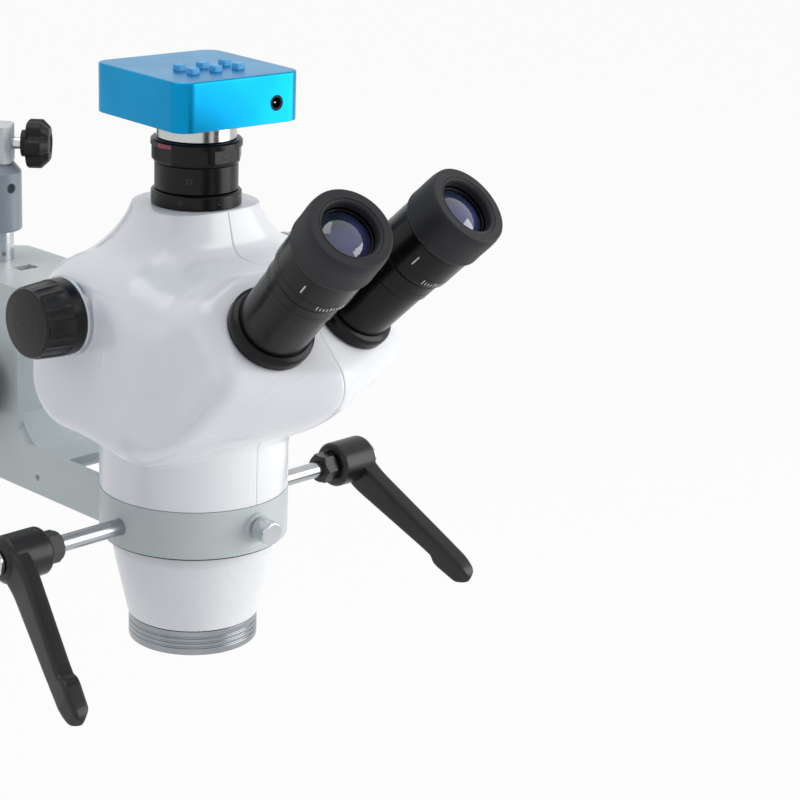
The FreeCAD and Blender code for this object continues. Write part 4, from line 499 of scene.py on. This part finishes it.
def skin(spot, depth):
    """Distance from points to the housing's skin at a depth, negative inside, both eye seats cut flat."""
    x, y, z = spot[..., 0], spot[..., 1], spot[..., 2]
    side = both(np.abs(y - 2.2) - 41.5, np.abs(z - 147.7) - 40, 25.0)
    pod = both(side, np.abs(x) - 64.2, 9 + 13 * ease((z - 120) / 65))
    outward = -y * np.cos(LEAN) + z * np.sin(LEAN)
    across = y * np.sin(LEAN) + z * np.cos(LEAN)
    seat = (outward - SEAT_REACH) * np.cos(SPREAD) + (np.abs(x) - EYE_X) * np.sin(SPREAD)
    keel = 29 + 0.36 * (np.hypot(x, 4) - 3) - across
    belly = 107 - 0.33 * (y + 43.8) - z
    flank = np.abs(x) - 53 - 12 * ease((66 - across) / 30)
    bulge = both(both(seat - 0.35, across - 95, 13.0), keel / 1.06, 14.0)
    bulge = both(both(both(bulge, 80 - outward, 5.0), belly / 1.05, 8.0), flank / 1.03, 13.0)
    crown = both(both(z - 186, -62 - y, 8.0), np.abs(x) - 34, 14.0)
    crown = both(both(crown, y, 5.0), 130 - z, 5.0)
    fall = HOUSING_TOP - z
    steep = 0.35 + 0.036 * fall
    cone = (np.hypot(x, y) - 29 - 0.35 * fall - 0.018 * fall * fall) / np.hypot(1, steep)
    neck = np.maximum(both(cone, -21.7 - 0.24 * fall - y, 8.0), 182 - z)
    tail = np.maximum(np.hypot(x, y) - 43.8, z - 147.7)
    body = merged(merged(pod, bulge, 20.0), crown, 16.0)
    body = merged(merged(body, neck, 6.0), tail, 6.0)
    return both(body + depth, seat + depth, 1.2)


def crossing(origin, ray, depth):
    """Where rays leave the skin: the span from 0 to 150 mm is halved 30 times."""
    near, far = np.zeros(ray.shape[:-1]), np.full(ray.shape[:-1], LONGEST_RAY)
    for _ in range(HALVINGS):
        middle = (near + far) / 2
        inside = skin(origin + ray * middle[..., None], depth) < 0
        near, far = np.where(inside, middle, near), np.where(inside, far, middle)
    return origin + ray * near[..., None]


def skin_half(depth, low, high, rows, heading):
    """Points of the left half of the skin, rows from the top rim to the hem. The rays of a column fan out in
    one upright plane, by equal angles, from a point inside."""
    flat = np.stack([-np.sin(heading), np.cos(heading), 0 * heading], -1)
    top = crossing(np.array([0, 0, high]), flat, depth)
    hem = crossing(np.array([0, 0, low]), flat, depth)
    up = (top - INSIDE) / np.linalg.norm(top - INSIDE, axis=1, keepdims=True)
    down = (hem - INSIDE) / np.linalg.norm(hem - INSIDE, axis=1, keepdims=True)
    whole = np.arccos((up * down).sum(1))[None, :, None]
    share = np.linspace(0, 1, rows)[:, None, None]
    ray = (up * np.sin((1 - share) * whole) + down * np.sin(share * whole)) / np.sin(whole)
    grid = crossing(INSIDE, ray, depth)
    grid[0], grid[-1] = top, hem
    return grid


def half_housing():
    """The left half as one closed surface: port rim, outer skin, hem, inner skin, and the seam faces."""
    inset = np.array([0, 0.0022, 0.0048, 0.008, 0.012, 0.018, 0.027])
    heading = np.concatenate([inset, np.linspace(0.04, np.pi - 0.04, 150), np.pi - inset[::-1]])
    outer = skin_half(0.0, HOUSING_LOW, HOUSING_TOP - 0.9, 176, heading)
    inner = skin_half(WALL, HOUSING_LOW + 24, HOUSING_TOP - WALL, 44, heading)[::-1]
    spoke = np.stack([-np.sin(heading), np.cos(heading), 0 * heading], -1)
    rise = np.array([0, 0, 1.0])
    rim = outer[0] - rise * outer[0][:, 2:]
    lip = [rim - spoke * 0.9 + rise * HOUSING_TOP, rim - spoke * 0.45 + rise * (HOUSING_TOP - 0.12),
           rim - spoke * 0.12 + rise * (HOUSING_TOP - 0.45)]
    bore_top = [spoke * PORT_BORE + rise * HOUSING_TOP, spoke * (PORT_BORE + 0.4) + rise * HOUSING_TOP]
    hem = outer[-1] - rise * outer[-1][:, 2:]
    foot = [hem - spoke * 0.12 + rise * HOUSING_LOW, spoke * HEM_BORE + rise * HOUSING_LOW,
            spoke * HEM_BORE + rise * (HOUSING_LOW + 12), spoke * HEM_BORE + rise * (HOUSING_LOW + 23.5)]
    bore_low = [spoke * PORT_BORE + rise * (HOUSING_TOP - WALL)]
    loop = np.concatenate([np.array(bore_top), np.array(lip), outer, np.array(foot), inner, np.array(bore_low),
                           np.array(bore_top[:1])])
    # The open seam: both mouldings stop 0.1 mm short of the mid-plane and their outer edges are rounded.
    seam = 0.5 * np.clip(1 - np.abs(outer[..., 0]) / 0.9, 0, 1) ** 2
    inward = INSIDE - outer
    before = len(bore_top) + len(lip)
    loop[before:before + len(outer)] += inward / np.linalg.norm(inward, axis=2, keepdims=True) * seam[..., None]
    loop[..., 0] = np.minimum(loop[..., 0], -0.1)
    return loop


# Gloss ABS with a clear coat: clean white, broad soft highlights and a barely waved surface.
white_moulding = finish("white_gloss_moulding", ("#F3F4F7", "#EFF1F5"), (0.22, 0.29), 1.6, 0.003, drift=70.0,
                        **{"Coat Weight": 0.25, "Coat Roughness": 0.08})
left_loop = half_housing()
for sign, word in ((1, "left"), (-1, "right")):
    grid = left_loop * np.array([sign, 1, 1.0])
    piece = filled("housing_moulding_" + word, [grid], white_moulding)
    work = bmesh.new()
    work.from_mesh(piece.data)
    bmesh.ops.holes_fill(work, edges=[edge for edge in work.edges if edge.is_boundary], sides=0)
    bmesh.ops.recalc_face_normals(work, faces=work.faces)
    work.to_mesh(piece.data)
    work.free()
    fit(piece, "head", "white_shell", "housing_" + word)

# Index mark beside the left zoom knob: a fine raised line, filled with white paint.
index_white = finish("white_marking_paint", ("#FFFFFF", "#FAFAFA"), (0.35, 0.45), 0.5, 0.001)
MARK_Y, MARK_LOW, MARK_HIGH, MARK_ROWS = -14.6, 141.4, 153.8, 27
height = np.linspace(MARK_LOW, MARK_HIGH, MARK_ROWS)
foot = crossing(np.stack([0 * height, 0 * height + MARK_Y, height], -1),
                np.repeat(np.array([[-1.0, 0, 0]]), MARK_ROWS, 0), 0.0)
angle = np.linspace(0, 2 * np.pi, 17)
swell = np.sqrt(np.clip(1 - np.linspace(-1, 1, MARK_ROWS) ** 8, 0, 1))[:, None]
mark = foot[:, None] + np.stack([0.3 * swell * np.cos(angle), 0.5 * swell * np.sin(angle),
                                 0 * swell * angle], -1)
fit(filled("zoom_index_mark", [mark], index_white), "head", "white_shell")

# Inside the housing: an anodised plate with two guide rods, the prism and splitter glasses and the zoom
# lenses in a bare aluminium carriage. Little of it is seen, so it keeps its solids' shapes. Anodised black is
# deep with faint tool lines, bare metal dull grey, the coated lens dark violet to green.
black_anodised = finish("black_anodised_aluminium", ("#0D0D0F", "#111113"), (0.24, 0.32), 0.7, 0.002,
                        lines=0.5, **{"Specular IOR Level": 0.22})
bare_aluminium = finish("turned_bare_aluminium", ("#9A9DA0", "#A8ABAE"), (0.26, 0.36), 0.7, 0.004, metal=1.0)
optical_glass = finish("polished_optical_glass", ("#DDE6E8", "#E4ECEE"), (0.01, 0.03), 3.0, 0.0002,
                       **{"Transmission Weight": 1.0, "IOR": 1.52})
coated_glass = finish("coated_dark_lens", ("#3C3F70", "#0D2622"), (0.02, 0.05), 4.0, 0.0001, drift=16.0,
                      **{"Coat Weight": 1.0, "Coat Roughness": 0.02})
dress(black_anodised, "optical_frame")
dress(bare_aluminium, "zoom_carriage", "zoom_shaft")
dress(optical_glass, "beam_splitter", "prism_left", "prism_right", "zoom_lenses", "objective_lens")

# ---------------------------------------------------------------------------------------------------------
# Nose barrel and objective ring: a white lacquered cone that stands in the clamp ring, and below it a ring
# turned from aluminium with three grip grooves, anodised silver and a little dark with handling.
NOSE_R, RING_R, GROOVE = 37.95, 30.28, 0.6
white_barrel = finish("white_lacquered_barrel", ("#EFF1F3", "#EAEDEF"), (0.24, 0.31), 1.6, 0.0012)
nose = turned([(26, 11.9), (30.6, 11.9), (36.3, 37.5), (NOSE_R, 46), (NOSE_R, 98), (26, 98)], 0.8, True, 128)
fit(filled("nose_cone", [nose], white_barrel), "head", "white_barrel", "nose_barrel")
silver_anodised = finish("silver_anodised_turned_ring", ("#8F9498", "#9EA3A7"), (0.24, 0.34), 0.6, 0.002, metal=1.0,
                         lines=0.45)
ring_line = [(24, 0), (RING_R, 0)]
for level in (3.0, 5.4, 7.8):
    ring_line += [(RING_R, level), (RING_R - GROOVE, level + 0.3), (RING_R - GROOVE, level + 0.9),
                  (RING_R, level + 1.2)]
ring_line += [(RING_R, 11.6), (25.95, 11.6), (25.95, 17.9), (23.05, 17.9), (23.05, 5.95), (21.5, 5.95), (21.5, 5),
              (24, 5)]
fit(filled("objective_grip_ring", [turned(ring_line, 0.3, True, 128)], silver_anodised), "head", "bare_aluminium",
    "objective_ring")

# A thin black ring just under the clamp ring: painted shade, standing for the shadow gap that shows as a dark line
# where the cone leaves the clamp ring.
shadow_gap_black = finish("black_shadow_gap_ring", ("#121214", "#161618"), (0.45, 0.55), 0.8, 0.002)
fit(filled("nose_shadow_gap_ring", [turned([(38.1, 52.2), (43.2, 52.2), (43.2, 53.0), (38.1, 53.0)], 0.2, True, 128)], shadow_gap_black),
    "head", "black_plastic")

# ---------------------------------------------------------------------------------------------------------
# Zoom knobs: glossy black mouldings with a shallow dome on the end and eight pairs of finger ribs on a slightly
# tapered side, pressed on the zoom shaft. A thin light collar shows behind each.
ZOOM_Y, ZOOM_Z, PAIRS, RIB_RISE = 10.0, 164.5, 8, 0.55
knob_moulding = finish("black_gloss_knob_moulding", ("#0F0F11", "#141417"), (0.24, 0.33), 0.9, 0.001, drift=22.0,
                       **{"Specular IOR Level": 0.28})
pale_collar = finish("pale_anodised_collar", ("#B5B9BF", "#C2C6CB"), (0.24, 0.34), 0.5, 0.003, metal=0.6)


def ribs(radius, height, angle):
    """Raised ribs 1.2 mm wide in eight pairs round the side, each rib 0.17 of a pair's share from the pair's
    middle. Between them the side is 0.55 mm lower, from 73 to 86.6 mm out."""
    turn_share = (angle * PAIRS / (2 * np.pi)) % 1 - 0.5
    place = np.abs(np.abs(turn_share) - 0.17) * 2 * np.pi * 16.5 / PAIRS
    rib = np.clip(1.25 - place, 0, 1) ** 0.8
    band = np.clip((height - 73) / 0.8, 0, 1) * np.clip((86.6 - height) / 1.2, 0, 1)
    return radius - (RIB_RISE - RIB_RISE * rib) * band * (radius > 13)


for side, word in ((-1, "left"), (1, "right")):
    knob = turned([(3.1, 67.2), (16.8, 67.2), (17.2, 67.8), (17.2, 72), (17.1, 73.2), (16.6, 80), (16.15, 85.2),
                   (15.2, 87.2), (13.4, 87.35), (9, 87.8), (4, 88), (0, 88), (0, 84), (3.1, 84)], 1.0, True, 256,
                  ribs)
    fit(filled("zoom_knob_moulding_" + word, [placed(knob, (0, ZOOM_Y, ZOOM_Z), facing(side))], knob_moulding),
        "zoom_drive", "black_plastic", "zoom_knob_" + word)
collars = [placed(turned([(3.1, 64.22), (17.9, 64.22), (17.9, 66.3), (17.3, 66.9), (3.1, 66.9)], 0.25),
                  (0, ZOOM_Y, ZOOM_Z), facing(side)) for side in (-1, 1)]
fit(filled("zoom_collar_rings", collars, pale_collar), "head", "bare_aluminium", "zoom_collars")

# ---------------------------------------------------------------------------------------------------------
# Camera port: a black anodised base ring on the neck, a tube screwed into it, the parfocal ring that turns on
# the tube's upper end, and a bright C-mount ring above. Small set screws hold tube and ring.
fit(filled("port_foot_ring", [turned([(15.5, 208.57), (20.4, 208.57), (20.4, 214.2), (19.6, 215), (15.5, 215)], 0.3)],
           black_anodised), "head", "black_anodised", "port_base_ring")
tube_line = [(13, 200.3), (15.45, 200.3), (15.45, 215.3), (18.85, 215.3), (18.85, 227.2), (16.5, 227.2),
             (16.5, 238.1), (13, 238.1)]
tube = filled("port_tube_body", [turned(tube_line, 0.35)], black_anodised)
fit(tube, "head", "black_anodised", "port_tube")


def finger_flats(radius, height, angle):
    """Eight flats 19.6 mm from the axis on the ring's lower 7.6 mm."""
    flat = 19.6 / np.cos((angle + np.pi / 8) % (np.pi / 4) - np.pi / 8)
    return np.where((radius > 18) & (height < 235.1), np.minimum(radius, flat), radius)


grip = turned([(16.55, 227.5), (19.2, 227.5), (20.61, 229.5), (20.61, 235.05), (20.61, 235.15), (20.61, 237.3),
               (19.8, 238.1), (16.55, 238.1)], 0.3, True, 192, finger_flats)
fit(filled("parfocal_grip_ring", [grip], black_anodised), "parfocal_ring", "black_anodised", "parfocal_ring")


def patch(radius, angles, heights, lift, steps=12):
    """A thin closed pad on a cylinder between two angles in degrees and two heights, its edges drawn in."""
    u, v = np.meshgrid(np.radians(np.linspace(*angles, steps)), np.linspace(*heights, steps), indexing="ij")
    edge = np.ones_like(u)
    edge[[0, -1]], edge[:, [0, -1]] = 0, 0
    outer = np.stack([(radius + lift * edge) * np.cos(u), (radius + lift * edge) * np.sin(u), v], -1)
    inner = np.stack([(radius - 0.2) * np.cos(u), (radius - 0.2) * np.sin(u), v], -1)
    ring = [np.concatenate([inner[:, :1], outer[:, :1]], 1), np.concatenate([inner[:, -1:], outer[:, -1:]], 1),
            np.concatenate([inner[:1], outer[:1]]), np.concatenate([inner[-1:], outer[-1:]])]
    return [outer, inner] + ring


def screw_at(radius, angle, height, size):
    """A small hollow-ended set screw, seen as a ring with a hexagon hole, let into a cylinder's side."""
    axis = np.array([np.cos(np.radians(angle)), np.sin(np.radians(angle)), 0])
    line = [(0, -1.5), (size, -1.5), (size, 0.05), (size * 0.55, 0.05), (size * 0.55, -0.9), (0, -0.9)]
    grid = turned(line, 0.08, False, 48)
    return placed(grid, axis * radius + np.array([0, 0, height]), (np.cross(axis, (0, 0, 1)), (0, 0, 1), axis))


dark_red = finish("dull_red_marking", ("#8E3A49", "#9B4656"), (0.35, 0.45), 0.6, 0.002)
fit(filled("parfocal_index_wedge", patch(20.6, (-186, -163), (235.3, 237.2), 0.06), dark_red), "parfocal_ring",
    "black_anodised")
fit(filled("parfocal_set_screw", [screw_at(19.75, -91.5, 231.2, 1.3)], black_screw), "parfocal_ring", "black_anodised")
screws = [screw_at(18.85, -139.5, 221.5, 1.4), screw_at(20.4, -150.5, 211.8, 1.2), screw_at(20.4, -99.5, 211.8, 1.2)]
fit(filled("port_set_screws", screws, black_screw), "head", "black_anodised")

mount_ring = turned([(10.5, 226.1), (12.95, 226.1), (12.95, 238.4), (18, 238.4), (18, 247.5), (10.5, 247.5)], 0.3)
chromed_brass = finish("nickel_plated_brass_ring", ("#B4B7B6", "#C3C6C5"), (0.14, 0.22), 0.8, 0.002, metal=1.0,
                       lines=0.5)
fit(filled("c_mount_ring", [mount_ring], chromed_brass), "camera", "bare_aluminium", "cmount_ring")

# ---------------------------------------------------------------------------------------------------------
# Camera: a square aluminium box milled from the solid and anodised sky blue, a tinted metal sheen without
# grain, with rounded upright corners and holes for six buttons, the power inlet and the sockets behind. A
# plate closes it from below.
blue_anodised = finish("sky_blue_anodised_aluminium", ("#0E8FC4", "#0C86B8"), (0.28, 0.36), 0.35, 0.001, drift=40.0,
                       metal=1.0)
blue_button = finish("pale_blue_button_plastic", ("#45AFE4", "#3FA8DE"), (0.34, 0.44), 0.6, 0.004)
board_green = finish("solder_resist_green", ("#14573A", "#1A6344"), (0.25, 0.40), 0.8, 0.01)
CASE_LOW, CASE_HIGH, CASE_HALF, CORNER, CASE_WALL = 247.8, 269.7, 33.34, 7.85, 2.0
CASE_TURN = np.radians(-3.8)
KEY_HALF, KEY_HOLE_HALF, KEY_RISE, INLET_X, INLET_Z = 2.25, 2.45, 2.6, 18.5, 256.8
case_axes = ((np.cos(CASE_TURN), np.sin(CASE_TURN), 0), (-np.sin(CASE_TURN), np.cos(CASE_TURN), 0), (0, 0, 1))


def cushion(half, corner, levels, centre=(0, 0), steps=24):
    """A square with round corners of the given half side, drawn in by an inset and lifted to a height at
    each level: straight sides with quarter circles between them. Levels are pairs of inset and height."""
    quarter = np.linspace(0, np.pi / 2, steps)
    angle = np.concatenate([quarter + k * np.pi / 2 for k in range(4)] + [np.zeros(1)])
    mid = np.concatenate([np.full(steps, k * np.pi / 2 + np.pi / 4) for k in range(4)] + [np.full(1, np.pi / 4)])
    rows = []
    for inset, height in levels:
        reach_in = max(half - inset, 0)
        bend = min(max(corner - inset, 0), reach_in)
        core = (reach_in - bend) * np.sqrt(2)
        rows.append(np.stack([centre[0] + core * np.cos(mid) + bend * np.cos(angle),
                              centre[1] + core * np.sin(mid) + bend * np.sin(angle), 0 * angle + height], -1))
    return np.array(rows)


TOP_EDGE = 0.8
edge_levels = [(TOP_EDGE - TOP_EDGE * np.cos(a), CASE_HIGH - TOP_EDGE + TOP_EDGE * np.sin(a))
               for a in np.linspace(0, np.pi / 2, 6)]
case_levels = ([(CASE_WALL, CASE_LOW), (0.3, CASE_LOW), (0, CASE_LOW + 0.3), (0, CASE_LOW + 1),
                (0, CASE_HIGH - 1.5)] + edge_levels + [(2.5, CASE_HIGH), (CASE_HALF, CASE_HIGH)])
inner_levels = [(CASE_WALL, CASE_LOW), (CASE_WALL, CASE_HIGH - CASE_WALL), (CASE_HALF, CASE_HIGH - CASE_WALL)]
case = filled("camera_shell", [cushion(CASE_HALF, CORNER, case_levels), cushion(CASE_HALF, CORNER, inner_levels)],
              blue_anodised)
BUTTONS = [(-1 + 12.3 * column, -5 - 9.8 * line) for line in (0, 1) for column in (-1, 0, 1)]
key_hole = [(KEY_HOLE_HALF, 266.5), (0, 266.5), (0, 271.5), (KEY_HOLE_HALF, 271.5)]
holes = [cushion(KEY_HOLE_HALF, 0.5, key_hole, centre, 6) for centre in BUTTONS]
holes.append(boss(3.5, 29.0, 36.0, (INLET_X, 0, INLET_Z), (0, -1, 0)))
holes += [placed(cushion(half, 0.5, [(half, -3), (0, -3), (0, 3), (half, 3)], (0, 0), 6) * np.array([wide, 0.96, 1]),
                 (x, 33.3, 256.9), ((1, 0, 0), (0, 0, 1), (0, 1, 0)))
          for x, half, wide in ((-8, 3.2, 2.45), (12.5, 3.2, 2.0))]
carved(case, holes)
case.data.transform(Matrix(np.array(case_axes).T.tolist()).to_4x4())
fit(case, "camera", "blue_anodised", "camera_case")
dress(blue_anodised, "camera_base")
dress(board_green, "camera_board")
top = CASE_HIGH + KEY_RISE
levels = [(KEY_HALF, 267.4), (0, 267.4), (0, top - 0.6), (0.12, top - 0.25), (0.4, top - 0.06), (0.8, top),
          (KEY_HALF, top)]
for number, centre in enumerate(BUTTONS, start=1):
    key = cushion(KEY_HALF, 0.7, levels, centre, 8)
    fit(filled("camera_key_%d" % number, [placed(key, (0, 0, 0), case_axes)], blue_button),
        "camera_button_%d" % number, "blue_plastic", "camera_button_%d" % number)
# The power inlet: a black moulded socket with a bright centre pin, just inside its hole in the operator's side.
inlet = [turned([(2.42, 0), (3.3, 0), (3.3, 9.62), (2.42, 9.62)], 0.2, True, 48),
         turned([(0, 0.2), (2.45, 0.2), (2.45, 0.8), (0, 0.8)], 0.1, False, 48)]
contact = turned([(0, 0.3), (0.65, 0.3), (0.65, 8.4), (0, 8.9)], 0.2, False, 24)
INLET_BACK = (INLET_X, -23.6, INLET_Z)
fit(filled("power_inlet", [placed(placed(grid, INLET_BACK, TO_OPERATOR), (0, 0, 0), case_axes) for grid in inlet],
           dull_moulding), "camera", "black_plastic")
fit(filled("power_inlet_pin", [placed(placed(contact, INLET_BACK, TO_OPERATOR), (0, 0, 0), case_axes)],
           chromed_brass), "camera", "bright_steel")

# ---------------------------------------------------------------------------------------------------------
# Binocular part, each side: a swivel flange, the eyetube, the dioptre ring, the eyepiece with a fine scale,
# its coated eye lens and a soft black rubber cup. The metal is turned and anodised gloss black, the rubber
# matt with a greyish bloom, the scale engraved and filled with white.
eye_rubber = finish("matt_black_rubber", ("#1E1F22", "#242528"), (0.50, 0.62), 0.6, 0.006,
                    **{"Specular IOR Level": 0.3})
gloss_black = finish("gloss_black_anodised_barrel", ("#0B0B0D", "#0F0F11"), (0.20, 0.28), 0.8, 0.001,
                     **{"Specular IOR Level": 0.2})
OCULAR_R, GLASS_R, GLASS_TOP, GLASS_CURVE = 18.2, 11.5, 80.3, 24.2
SCALE_ANGLE, SCALE_STEP, SCALE_LOW = -100, 5, 48.6
pale_mark = finish("white_filled_engraving", ("#D6D8DA", "#E0E2E4"), (0.45, 0.55), 0.5, 0.002)
for side, word in ((-1, "left"), (1, "right")):
    d = np.array([side * np.sin(SPREAD), -np.cos(LEAN) * np.cos(SPREAD), np.sin(LEAN) * np.cos(SPREAD)])
    sideways = np.cross((0, np.sin(LEAN), np.cos(LEAN)), d)
    sideways = sideways / np.linalg.norm(sideways)
    axes = (sideways, np.cross(d, sideways), d)
    seat = (side * EYE_X, EYE_Y, EYE_Z)
    flange = turned([(11, 0.3), (19.6, 0.3), (19.6, 4.4), (18.9, 5.9), (17, 6.8), (11, 6.8)], 0.7, True, 128)
    stem = turned([(5.5, -11.7), (8, -11.7), (8, 1), (5.5, 1)], 0.3) + np.array([0, -11.0, 0])
    fit(filled("swivel_flange_" + word, [placed(flange, seat, axes), placed(stem, seat, axes)], gloss_black),
        "eyetube_" + word, "black_anodised", "eyetube_flange_" + word)
    barrel = turned([(15.05, 7.1), (16.4, 7.1), (16.4, 35), (15.65, 35), (15.65, 45.2), (15.05, 45.2)], 0.25, True, 128)
    fit(filled("eye_barrel_" + word, [placed(barrel, seat, axes)], gloss_black), "eyetube_" + word, "black_anodised",
        "eyetube_" + word)
    ring = turned([(15.7, 35.3), (16.5, 35.3), (17, 35.8), (17, 39.9), (16.85, 40.1), (17, 40.3), (17, 45.3),
                   (16.5, 45.8), (15.7, 45.8)], 0.2, True, 128)
    fit(filled("dioptre_collar_" + word, [placed(ring, seat, axes)], gloss_black), "dioptre_ring_" + word,
        "black_anodised", "dioptre_ring_" + word)
    ocular = turned([(11, 18.8), (15, 18.8), (15, 46.1), (17, 46.1), (OCULAR_R, 47.8), (OCULAR_R, 52.0), (18.0, 52.2),
                     (OCULAR_R, 52.4), (OCULAR_R, 64.8), (14, 64.8), (14, 78.7), (11.6, 78.7), (11.6, 74.7),
                     (11, 74.7)], 0.25, True, 128)
    fit(filled("ocular_" + word, [placed(ocular, seat, axes)], gloss_black), "eyepiece_" + word, "black_anodised",
        "eyepiece_" + word)
    cup = turned([(14.05, 65.1), (18.5, 65.1), (19.4, 66.6), (19.25, 71), (19.3, 77.5), (19.2, 80.5), (18.6, 83.7),
                  (14.6, 83.7), (14.4, 83.2), (14.0, 83.2), (13.6, 83.6), (13.1, 83.2), (12.6, 82.2), (12.6, 79),
                  (14.05, 79)], 0.7, True, 128)
    fit(filled("rubber_cup_" + word, [placed(cup, seat, axes)], eye_rubber), "eyepiece_" + word, "black_rubber",
        "eyecup_" + word)
    dome_r = np.linspace(GLASS_R, 0, 14)
    dome_h = GLASS_TOP - GLASS_CURVE + np.sqrt(GLASS_CURVE ** 2 - dome_r ** 2)
    glass = turned([(0, 74.9), (GLASS_R, 74.9)] + list(zip(dome_r, dome_h)), 0.15, False)
    fit(filled("eye_glass_" + word, [placed(glass, seat, axes)], coated_glass), "eyepiece_" + word, "coated_glass",
        "eye_lens_" + word)
    marks = []
    for number in range(-4, 5):
        long, middle = 2.6 if number % 4 == 0 else 1.6, SCALE_ANGLE + number * SCALE_STEP
        marks += patch(OCULAR_R, (middle - 0.6, middle + 0.6), (SCALE_LOW, SCALE_LOW + long), 0.05, 4)
    marks += patch(OCULAR_R, (-152, -150.2), (54.4, 59.6), 0.05, 4)
    fit(filled("dioptre_scale_" + word, [placed(grid, seat, axes) for grid in marks], pale_mark), "eyepiece_" + word,
        "black_anodised")
